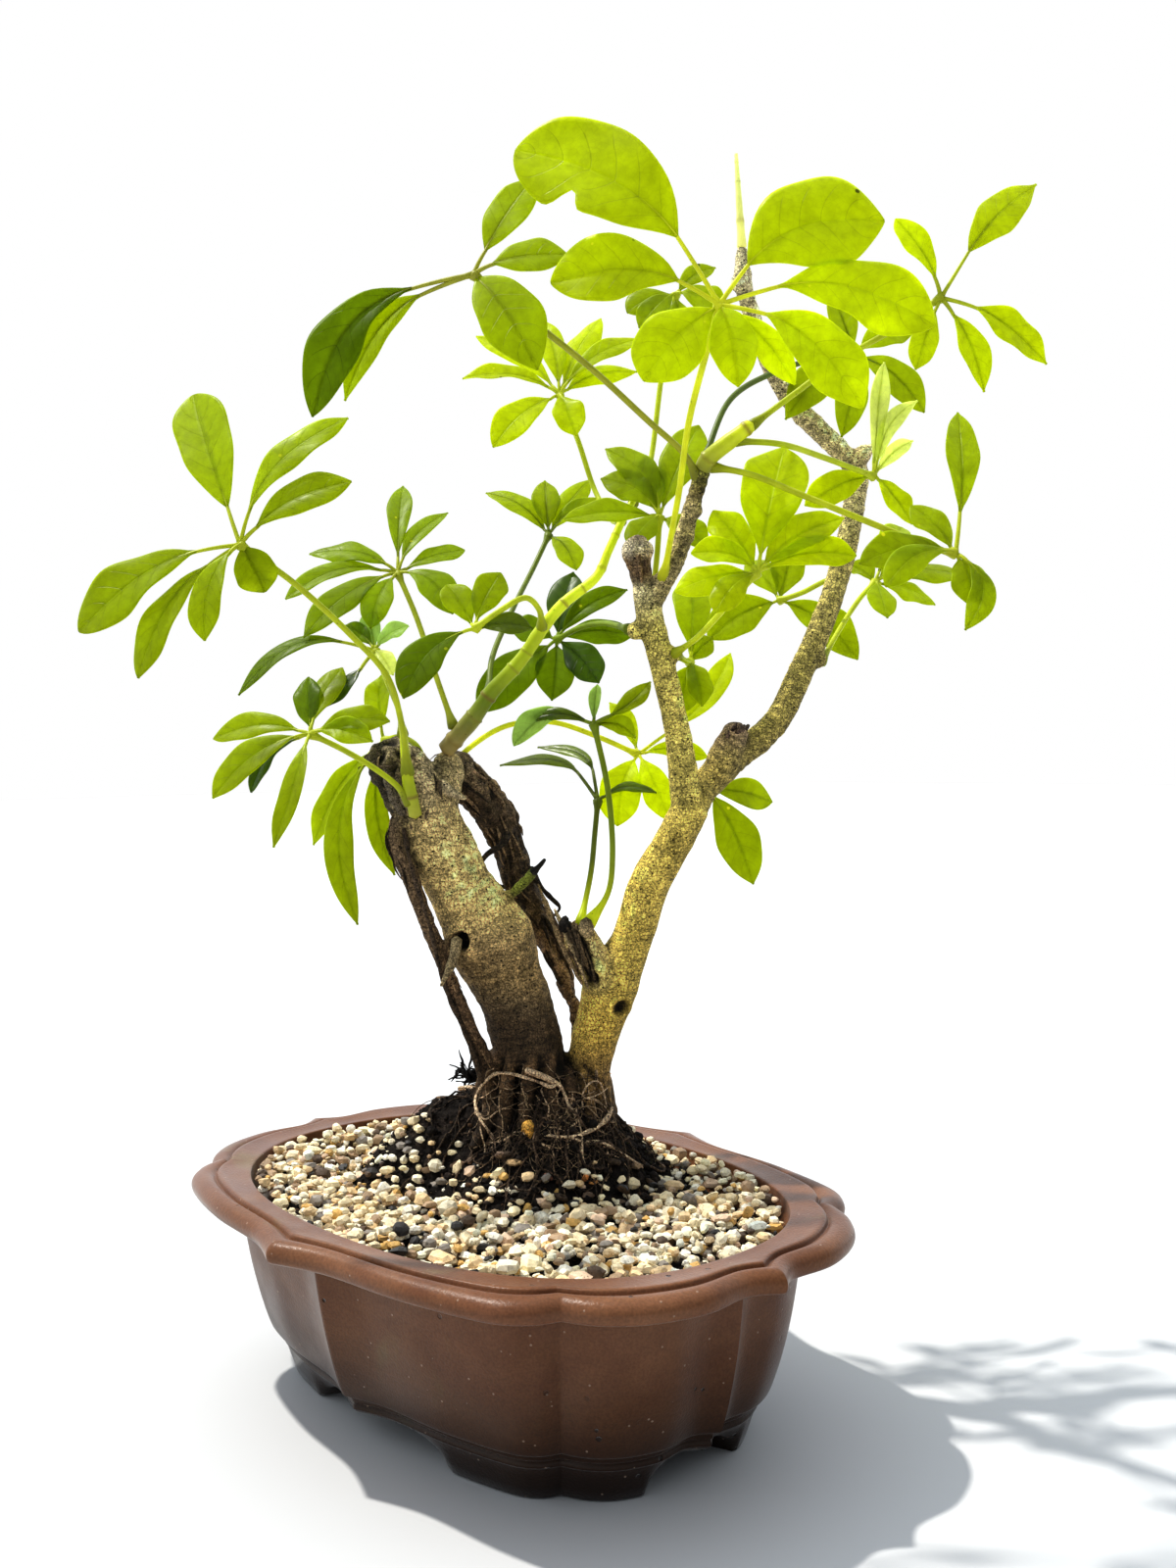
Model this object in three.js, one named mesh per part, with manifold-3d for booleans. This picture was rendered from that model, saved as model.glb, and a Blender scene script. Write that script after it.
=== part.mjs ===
// Umbrella tree bonsai in an unglazed clay pot with a bracket-shaped lip. Millimetres, +Z up.
// The origin is the middle of the whole object's bounding box, on the surface it stands on.

import * as THREE from 'three';
import { mergeVertices } from 'three/addons/utils/BufferGeometryUtils.js';
import Module from 'manifold-3d';

const wasm = await Module();
wasm.setup();

// Driving dimensions of the pot
const POT_LENGTH = 204;
const POT_WIDTH = 152;
const POT_HEIGHT = 58.5;
const FOOT_HEIGHT = 9;
const FLOOR_TOP = 15;
const OPENING_LENGTH = 170;
const OPENING_WIDTH = 119;
const OPENING_POWER = 2.3;
const RUN_STEPS = 5;
const LONG_ARCH = [30, 6.5];
const SHORT_ARCH = [18, 6.5];
const FOOT_RING = [28, 37];
const DRAIN_RADIUS = 8;
const DRAIN_X = 40;
const SCREEN_SIZE = 22;
const SCREEN_THICK = 1.2;

// A quarter of the lip's plan, from the cusp in the middle of a short side to the notch at the
// corner, and on to the cusp in the middle of a long side
const HALF_L = POT_LENGTH / 2;
const HALF_W = POT_WIDTH / 2;
const SHORT_RUN = [[HALF_L, 0], [97.5, 8], [98, 22], [93.5, 35.5], [86.5, 44], [78.5, 48.5]];
const LONG_RUN = [[78.5, 48.5], [75, 55.5], [66, 61.5], [42, 67.5], [16, 70.5], [0, HALF_W]];

// Section of the pot: inset from the lip's plan, height, share of the plain oval of the opening
const POT_SECTION = [
  [24.5, FOOT_HEIGHT, 0], [24, 12.5, 0], [21.5, 13.5, 0], [17, 26, 0], [14.5, 43, 0], [13.5, 51.5, 0],
  [3, 52, 0], [0, 54.5, 0], [1, 57.3, 0], [4, 58.1, 0], [9, POT_HEIGHT, 0.5],
  [0, 57.7, 1], [0.4, 54.5, 1], [5.2, 48.5, 1], [9, 31, 1], [18, FLOOR_TOP, 1],
];

// Inside of the pot, from the floor up to the gravel: inset from the opening, height
const WALL_INSETS = [[18, FLOOR_TOP], [9, 31], [5.2, 48.5], [0.4, 54.5]];

// The tree is set out as seen from a viewing point: a spot is given by the pixel of a
// 1200 x 1600 picture where it shows, and by how far it stands in front of the trunk's plane
const EYE = new THREE.Vector3(318.7, -257.3, 177);
const VIEW_TURN = THREE.MathUtils.degToRad(47.7);
const VIEW_PITCH = THREE.MathUtils.degToRad(1.2);
const VIEW_ROLL = THREE.MathUtils.degToRad(-0.7);
const FOCAL = 1500;
const MIDDLE = [600, 800];
const TRUNK_REACH = 428;

const RIGHT = new THREE.Vector3(Math.cos(VIEW_TURN), Math.sin(VIEW_TURN), 0);
const LEVEL = new THREE.Vector3(-Math.sin(VIEW_TURN), Math.cos(VIEW_TURN), 0);
const AHEAD = LEVEL.clone().multiplyScalar(Math.cos(VIEW_PITCH)).setZ(-Math.sin(VIEW_PITCH));
const UPWARD = new THREE.Vector3().crossVectors(RIGHT, AHEAD);

// Soil and gravel
const SOIL_LEVEL = 49.5;
const GRAVEL_LEVEL = 52.5;
const GRAVEL_CELL = 12;
const GRAVEL_RISE = [1.2, 3.4];
const MOUND_CENTRE = [-6, 20];
const MOUND_RADIUS = 44;
const MOUND_RISE = 28;
const MOUND_POWER = 1.3;
const MOUND_EDGE = 36;
const WALL_GAP = 0.35;

// Leaves
const BLADE_THICK = 0.7;
const PETIOLE_RADIUS = 0.95;
const STALK_HALF = 0.45;
const HUB_RADIUS = 2;
const SEAT_GAP = 0.3;
const WIDTH_GAIN = 1.12;

const NARROW_RING = 9;

// Seeded random numbers, so that the gravel is the same each time
let seed = 20461;
function random() {
  seed = (seed * 16807) % 2147483647;
  return seed / 2147483647;
}

// A spot of the tree, from its picture place and its distance in front of the trunk's plane
function spot(u, v, near) {
  const reach = TRUNK_REACH - near;
  const du = u - MIDDLE[0];
  const dv = v - MIDDLE[1];
  const across = (du * Math.cos(VIEW_ROLL) + dv * Math.sin(VIEW_ROLL)) / FOCAL;
  const down = (dv * Math.cos(VIEW_ROLL) - du * Math.sin(VIEW_ROLL)) / FOCAL;
  return EYE.clone().addScaledVector(AHEAD, reach).addScaledVector(RIGHT, across * reach)
    .addScaledVector(UPWARD, -down * reach);
}

// A closed body from rings of equally many points, with flat ends. The ends of a wide ring, whose
// outline may dip inwards, are closed from their middle, and those of a narrow one from a corner.
function loft(rings) {
  const size = rings[0].length;
  const ends = [rings[0], rings[rings.length - 1]];
  const middles = ends.map((ring) => ring.reduce((sum, p) => sum.add(p), new THREE.Vector3())
    .divideScalar(size));
  const positions = [...rings.flat(), ...middles].flatMap((p) => [p.x, p.y, p.z]);
  const index = [];
  for (let i = 0; i + 1 < rings.length; i += 1) {
    for (let j = 0; j < size; j += 1) {
      const a = i * size + j;
      const b = i * size + ((j + 1) % size);
      index.push(a, b, a + size, b, b + size, a + size);
    }
  }
  const last = (rings.length - 1) * size;
  const middle = rings.length * size;
  for (let j = 0; j < size; j += 1) {
    const next = (j + 1) % size;
    if (size > NARROW_RING) {
      index.push(middle, next, j, middle + 1, last + j, last + next);
    } else if (j > 0 && next > 0) {
      index.push(0, next, j, last, last + j, last + next);
    }
  }
  const geometry = new THREE.BufferGeometry();
  geometry.setAttribute('position', new THREE.Float32BufferAttribute(positions, 3));
  geometry.setIndex(index);
  return geometry;
}

// A solid from a closed geometry; one that was wound inside out is turned
function solid(geometry) {
  const bare = geometry.clone();
  bare.deleteAttribute('normal');
  bare.deleteAttribute('uv');
  const merged = mergeVertices(bare, 1e-4);
  const vertProperties = new Float32Array(merged.attributes.position.array);
  const triVerts = new Uint32Array(merged.index.array);
  let volume = 0;
  const p = vertProperties;
  for (let i = 0; i < triVerts.length; i += 3) {
    const [a, b, c] = [triVerts[i] * 3, triVerts[i + 1] * 3, triVerts[i + 2] * 3];
    volume += p[a] * (p[b + 1] * p[c + 2] - p[b + 2] * p[c + 1])
      - p[a + 1] * (p[b] * p[c + 2] - p[b + 2] * p[c])
      + p[a + 2] * (p[b] * p[c + 1] - p[b + 1] * p[c]);
  }
  if (volume < 0) {
    for (let i = 0; i < triVerts.length; i += 3) {
      [triVerts[i + 1], triVerts[i + 2]] = [triVerts[i + 2], triVerts[i + 1]];
    }
  }
  return new wasm.Manifold(new wasm.Mesh({ numProp: 3, vertProperties, triVerts }));
}

function join(bodies) {
  return bodies.reduce((sum, body) => sum.add(body));
}

// The largest of a solid's separate bodies
function largest(body) {
  return body.decompose().reduce((best, piece) => (piece.volume() > best.volume() ? piece : best));
}

// A named piece of the object
function piece(name, body, finish) {
  const mesh = body.getMesh();
  const geometry = new THREE.BufferGeometry();
  geometry.setAttribute('position', new THREE.BufferAttribute(mesh.vertProperties, 3));
  geometry.setIndex(new THREE.BufferAttribute(mesh.triVerts, 1));
  geometry.computeVertexNormals();
  const result = new THREE.Mesh(geometry, new THREE.MeshStandardMaterial(finish));
  result.name = name;
  return result;
}

// A round stem through spots with their own radii, grown all over by grow
function stem(stations, sides, stepsPerSpan, grow = 0) {
  const spots = stations.map(([u, v, near]) => spot(u, v, near));
  const radii = stations.map((station) => station[3]);
  const curve = new THREE.CatmullRomCurve3(spots, false, 'centripetal');
  const steps = (spots.length - 1) * stepsPerSpan;
  const rings = [];
  let side = new THREE.Vector3().crossVectors(curve.getTangent(0), AHEAD).normalize();
  for (let i = 0; i <= steps; i += 1) {
    const t = i / steps;
    const span = Math.min(Math.floor(t * (spots.length - 1)), spots.length - 2);
    const part = t * (spots.length - 1) - span;
    const radius = THREE.MathUtils.lerp(radii[span], radii[span + 1], part) + grow;
    const tangent = curve.getTangent(t);
    side = side.clone().addScaledVector(tangent, -side.dot(tangent)).normalize();
    const other = new THREE.Vector3().crossVectors(tangent, side);
    const centre = curve.getPoint(t);
    if (i === 0) centre.addScaledVector(tangent, -grow);
    if (i === steps) centre.addScaledVector(tangent, grow);
    rings.push(Array.from({ length: sides }, (_, j) => {
      const turn = (j / sides) * 2 * Math.PI;
      return centre.clone().addScaledVector(side, radius * Math.cos(turn))
        .addScaledVector(other, radius * Math.sin(turn));
    }));
  }
  return solid(loft(rings));
}

// A round knob on the wood
function knob([u, v, near, radius], grow = 0) {
  const geometry = new THREE.SphereGeometry(radius + grow, 7, 4);
  const place = spot(u, v, near);
  geometry.translate(place.x, place.y, place.z);
  return solid(geometry);
}

// Plan points of the pot, mirrored from one quarter, each with the oval opening's point beside it
function potPlan() {
  const runs = [SHORT_RUN, LONG_RUN].map((run) => {
    const curve = new THREE.SplineCurve(run.map(([x, y]) => new THREE.Vector2(x, y)));
    return curve.getPoints(RUN_STEPS);
  });
  const quarter = [...runs[0], ...runs[1].slice(1)];
  const half = [...quarter, ...quarter.slice(0, -1).reverse().map((p) => new THREE.Vector2(-p.x, p.y))];
  return [...half, ...half.slice(1, -1).reverse().map((p) => new THREE.Vector2(p.x, -p.y))];
}

// The point of the plain oval opening in the direction of a plan point
function ovalPoint(p) {
  const x = p.x / (OPENING_LENGTH / 2);
  const y = p.y / (OPENING_WIDTH / 2);
  const reach = (Math.abs(x) ** OPENING_POWER + Math.abs(y) ** OPENING_POWER) ** (1 / OPENING_POWER);
  return new THREE.Vector2(p.x / reach, p.y / reach);
}

// One level of the pot: the plan drawn in by an inset and blended towards the oval opening
function potRing(plan, inset, z, share) {
  return plan.map((p) => {
    const oval = ovalPoint(p);
    const x = THREE.MathUtils.lerp(p.x, oval.x, share);
    const y = THREE.MathUtils.lerp(p.y, oval.y, share);
    const halfL = THREE.MathUtils.lerp(HALF_L, OPENING_LENGTH / 2, share);
    const halfW = THREE.MathUtils.lerp(HALF_W, OPENING_WIDTH / 2, share);
    return new THREE.Vector3(x * (1 - inset / halfL), y * (1 - inset / halfW), z);
  });
}

// A body with the opening's oval at each level, drawn in by the level's inset
function ovalPrism(plan, levels) {
  return solid(loft(levels.map(([inset, z]) => potRing(plan, inset, z, 1))));
}

function buildPot(plan) {
  const body = solid(loft(POT_SECTION.map(([inset, z, share]) => potRing(plan, inset, z, share))));
  const [outer, inner] = FOOT_RING;
  const outside = solid(loft([potRing(plan, outer, 0, 0), potRing(plan, outer - 3, FOOT_HEIGHT + 1, 0)]));
  const inside = solid(loft([potRing(plan, inner, -1, 0.3), potRing(plan, inner, FOOT_HEIGHT + 0.5, 0.3)]));
  const arch = ([half, rise], turn) => {
    const bar = new THREE.CylinderGeometry(1, 1, 300, 20);
    bar.rotateZ(turn ? Math.PI / 2 : 0);
    bar.scale(turn ? 1 : half, turn ? half : 1, rise);
    return solid(bar);
  };
  const feet = outside.subtract(inside).subtract(arch(LONG_ARCH, false)).subtract(arch(SHORT_ARCH, true));
  let pot = body.add(feet);
  for (const x of [-DRAIN_X, DRAIN_X]) {
    const hole = new THREE.CylinderGeometry(DRAIN_RADIUS, DRAIN_RADIUS, 20, 20);
    hole.rotateX(Math.PI / 2);
    hole.translate(x, 0, FLOOR_TOP - 3);
    pot = pot.subtract(solid(hole));
  }
  return pot;
}

// A drainage screen: a thin square plate with four slots, lying over a drain hole
function buildScreen(x) {
  const base = FLOOR_TOP + SEAT_GAP;
  const box = (w, d, h, dx) => {
    const geometry = new THREE.BoxGeometry(w, d, h);
    geometry.translate(x + dx, 0, base + SCREEN_THICK / 2);
    return solid(geometry);
  };
  let plate = box(SCREEN_SIZE, SCREEN_SIZE, SCREEN_THICK, 0);
  for (const dx of [-6, -2, 2, 6]) {
    plate = plate.subtract(box(2, 14, 4, dx));
  }
  return plate;
}

// Height of the ground: level, with a rounded mound of old root ball round the trunks
function mound(x, y) {
  const reach = Math.hypot(x - MOUND_CENTRE[0], y - MOUND_CENTRE[1]) / MOUND_RADIUS;
  return MOUND_RISE * Math.max(0, 1 - reach * reach) ** MOUND_POWER;
}

// The mound as a body of turned rings, grown by a gap and cut off at a lower level
function moundBody(low, grow) {
  const rings = [];
  for (let i = 0; i <= 6; i += 1) {
    const reach = MOUND_RADIUS * (1 - i / 6.6);
    const rise = mound(MOUND_CENTRE[0] + reach, MOUND_CENTRE[1]);
    rings.push(Array.from({ length: 20 }, (_, j) => {
      const turn = (j / 20) * 2 * Math.PI;
      const lump = 1 + 0.05 * Math.sin(3 * turn + 1) + 0.04 * Math.sin(5 * turn + i);
      return new THREE.Vector3(
        MOUND_CENTRE[0] + (reach * lump + grow) * Math.cos(turn),
        MOUND_CENTRE[1] + (reach * lump + grow) * Math.sin(turn),
        i === 0 ? low : SOIL_LEVEL + rise + grow,
      );
    }));
  }
  return solid(loft(rings));
}

function buildSoil(plan, wood) {
  const [floor, middle, top] = WALL_INSETS.map(([inset, z]) => [inset + WALL_GAP, z]);
  const fill = ovalPrism(plan, [[floor[0], floor[1] + WALL_GAP], middle, top, [top[0], SOIL_LEVEL]]);
  const column = ovalPrism(plan, [[top[0], FLOOR_TOP], [top[0], 2 * POT_HEIGHT]]);
  let soil = fill.add(moundBody(SOIL_LEVEL - 2, 0).intersect(column)).subtract(wood);
  for (const x of [-DRAIN_X, DRAIN_X]) {
    const pocket = new THREE.BoxGeometry(SCREEN_SIZE + 1, SCREEN_SIZE + 1, SCREEN_THICK + 1);
    pocket.translate(x, 0, FLOOR_TOP + SCREEN_THICK / 2 + SEAT_GAP);
    soil = soil.subtract(solid(pocket));
  }
  return largest(soil);
}

// Gravel: a layer whose top is a field of six-sided pebbles, raised in the middle of each cell
function buildGravel(plan, wood) {
  const heights = (x, y, rise) => GRAVEL_LEVEL + Math.max(0, mound(x, y) - 1.5) + rise;
  const corners = new Map();
  const corner = (x, y) => {
    const key = `${Math.round(x * 10)},${Math.round(y * 10)}`;
    if (!corners.has(key)) {
      const px = x + (random() - 0.5) * GRAVEL_CELL * 0.28;
      const py = y + (random() - 0.5) * GRAVEL_CELL * 0.28;
      corners.set(key, new THREE.Vector3(px, py, heights(px, py, 0)));
    }
    return corners.get(key);
  };
  const positions = [];
  const triangle = (a, b, c) => positions.push(...a.toArray(), ...b.toArray(), ...c.toArray());
  const edges = new Map();
  const size = GRAVEL_CELL / Math.sqrt(3);
  for (let row = -9; row <= 9; row += 1) {
    for (let column = -12; column <= 12; column += 1) {
      const x = (column + (row % 2 ? 0.5 : 0)) * GRAVEL_CELL;
      const y = row * size * 1.5;
      const ring = Array.from({ length: 6 }, (_, k) => {
        const turn = ((k + 0.5) / 6) * 2 * Math.PI;
        return corner(x + size * Math.cos(turn), y + size * Math.sin(turn));
      });
      const rise = THREE.MathUtils.lerp(GRAVEL_RISE[0], GRAVEL_RISE[1], random());
      const top = new THREE.Vector3(x, y, heights(x, y, rise));
      ring.forEach((p, k) => {
        const q = ring[(k + 1) % 6];
        triangle(p, q, top);
        const names = [p, q].map((c) => c.toArray().join());
        const back = names.slice().reverse().join('|');
        if (edges.has(back)) edges.delete(back);
        else edges.set(names.join('|'), [p, q]);
      });
    }
  }
  const low = (p) => p.clone().setZ(SOIL_LEVEL - 8);
  const middle = new THREE.Vector3(0, 0, SOIL_LEVEL - 8);
  for (const [p, q] of edges.values()) {
    triangle(q, p, low(p));
    triangle(q, low(p), low(q));
    triangle(low(q), low(p), middle);
  }
  const geometry = new THREE.BufferGeometry();
  geometry.setAttribute('position', new THREE.Float32BufferAttribute(positions, 3));
  const [wall, lip] = WALL_INSETS.slice(2).map(([inset, z]) => [inset + WALL_GAP, z]);
  const inPot = ovalPrism(plan, [[wall[0], SOIL_LEVEL + WALL_GAP], lip, [lip[0], 2 * POT_HEIGHT]]);
  const bare = Array.from({ length: 2 }, (_, end) => Array.from({ length: 20 }, (__, j) => {
    const turn = (j / 20) * 2 * Math.PI;
    const reach = MOUND_EDGE * (1 + 0.09 * Math.sin(2 * turn + 0.6) + 0.06 * Math.sin(5 * turn));
    return new THREE.Vector3(
      MOUND_CENTRE[0] + reach * Math.cos(turn),
      MOUND_CENTRE[1] + reach * Math.sin(turn),
      end ? 120 : 0,
    );
  }));
  const layer = solid(geometry).intersect(inPot).subtract(solid(loft(bare)));
  return largest(layer.subtract(moundBody(SOIL_LEVEL - 2, WALL_GAP)).subtract(wood));
}

// Wood: each limb is a list of spots, u, v, distance in front of the trunk's plane, and radius
const LIMBS = {
  leaningTrunk: [[562, 1235, -2, 15], [558, 1165, -2, 17], [551, 1120, 0, 13.4], [543, 1090, 0, 10.2],
    [538, 1059, 1, 10], [532, 1027, 2, 10], [517, 995, 3, 10.4], [500, 960, 4, 13], [495, 931, 5, 12.2],
    [461, 883, 6, 10.2], [436, 838, 7, 9.8], [430, 812, 8, 8.6]],
  cutStump: [[440, 842, 8, 8], [422, 808, 9, 9], [404, 778, 10, 8.2], [403, 764, 10, 6.4]],
  trunkShoulder: [[432, 830, 7, 8.6], [448, 806, 4, 6.6], [456, 784, 2, 4.8], [455, 772, 2, 3.6]],
  aerialRoot: [[418, 822, 12, 3.2], [407, 852, 14, 2.2], [436, 931, 19, 1.9], [461, 1005, 17, 1.9],
    [492, 1078, 10, 2.4], [508, 1110, 6, 3]],
  oldRoot: [[440, 800, 0, 5], [458, 786, -4, 4.6], [490, 808, -8, 4.5], [523, 845, -12, 4.5],
    [536, 883, -14, 3.6], [557, 938, -15, 3], [566, 976, -14, 2.6], [583, 1014, -11, 2.2],
    [590, 1045, -8, 2.2], [594, 1085, -4, 3]],
  uprightTrunk: [[600, 1150, -6, 13], [600, 1110, -3, 9.5], [600, 1091, -2, 6.4], [607, 1059, -1, 6.9],
    [617, 1027, 0, 7.4], [626, 1000, 1, 8], [643, 963, 3, 6], [664, 899, 5, 5.8], [682, 868, 6, 5.4],
    [698, 838, 8, 5.6], [708, 822, 8, 5]],
  brokenStub: [[622, 1004, 2, 6.4], [604, 985, 5, 6.6], [592, 960, 7, 5.4], [588, 944, 8, 3.6]],
  middleBranch: [[703, 834, 8, 4.8], [690, 740, 12, 3.6], [675, 680, 16, 3.6], [663, 632, 18, 3.7],
    [653, 596, 19, 3.6], [651, 560, 19, 4], [650, 549, 19, 3.8]],
  middleShoot: [[664, 618, 18, 3.2], [676, 596, 21, 2.8], [690, 570, 26, 2.7], [708, 510, 34, 2.2],
    [717, 480, 37, 2.2]],
  rightBranch: [[703, 830, 6, 5], [716, 806, 3, 4.6], [745, 776, 0, 4.4], [788, 741, -6, 4],
    [820, 680, -12, 3.8], [845, 620, -16, 3.6], [865, 560, -20, 3.3], [875, 500, -22, 3.1],
    [880, 472, -22, 3.2], [861, 450, -20, 2.8], [830, 420, -16, 2.6], [800, 385, -11, 2.4],
    [778, 350, -6, 2.2], [760, 292, 0, 2.1], [757, 254, 2, 1.6]],
  cutStub: [[738, 784, 2, 4.2], [744, 756, 3, 4], [749, 739, 4, 3.4]],
  cutTwig: [[512, 922, 4, 1.6], [530, 905, 8, 1.7], [547, 888, 11, 1.5]],
  leftSurfaceRoot: [[534, 1094, 6, 4.6], [512, 1120, 12, 3.6], [494, 1146, 16, 2.8], [482, 1172, 18, 2]],
  frontSurfaceRoot: [[556, 1090, 6, 5], [562, 1122, 15, 4.4], [560, 1154, 21, 3.4], [556, 1186, 24, 2]],
  rightSurfaceRoot: [[608, 1086, 4, 4.2], [622, 1116, 9, 3.8], [632, 1148, 12, 3], [642, 1176, 13, 2.2]],
  backSurfaceRoot: [[560, 1084, -8, 4.6], [552, 1108, -18, 3.8], [546, 1126, -26, 2.8],
    [540, 1140, -32, 2]],
  farSurfaceRoot: [[604, 1080, -8, 4.2], [618, 1100, -16, 3.4], [630, 1118, -24, 2.6], [640, 1132, -29, 2]],
};
const THICK_LIMB = 9;
const SMALL_LIMBS = ['aerialRoot', 'cutTwig', 'leftSurfaceRoot', 'frontSurfaceRoot', 'rightSurfaceRoot',
  'backSurfaceRoot', 'farSurfaceRoot', 'middleShoot', 'cutStub'];
const KNOBS = [[466, 962, 12, 4.6], [638, 1028, 2, 3.4], [650, 644, 18, 2.8], [683, 668, 17, 3],
  [836, 674, -13, 2.6], [886, 463, -22, 2.8], [545, 1150, 22, 4]];

function buildWood(grow) {
  const limbs = Object.entries(LIMBS).map(([name, stations]) => {
    const sides = stations[0][3] > THICK_LIMB ? 9 : 6;
    return stem(stations, SMALL_LIMBS.includes(name) ? 5 : sides, 1, grow);
  });
  return join([...limbs, ...KNOBS.map((place) => knob(place, grow))]);
}

// Green stems: the woody green shoot of the leaning trunk, the young tip of the middle shoot,
// and the young tip of the right branch
const GREEN_STEMS = {
  green_stem_left: [[455, 765, 4, 2.3], [484, 731, 8, 2.3], [501, 707, 10, 2.1], [532, 673, 11, 2],
    [553, 642, 11, 2], [575, 616, 11, 1.9], [609, 588, 9, 1.9], [621, 562, 7, 1.8], [638, 525, 3, 1.7],
    [647, 510, 1, 1.5]],
  green_tip_middle: [[718, 477, 37, 2.2], [724, 467, 39, 2.2], [745, 450, 41, 2.1], [766, 434, 42, 1.7]],
  green_tip_right: [[757, 252, 2, 1.5], [754, 205, 3, 1.2], [751, 157, 4, 0.9]],
  green_shoot_stump: [[424, 832, 18, 1.7], [417, 800, 20, 1.6], [413, 765, 21, 1.3], [411, 742, 21, 1]],
};

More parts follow.
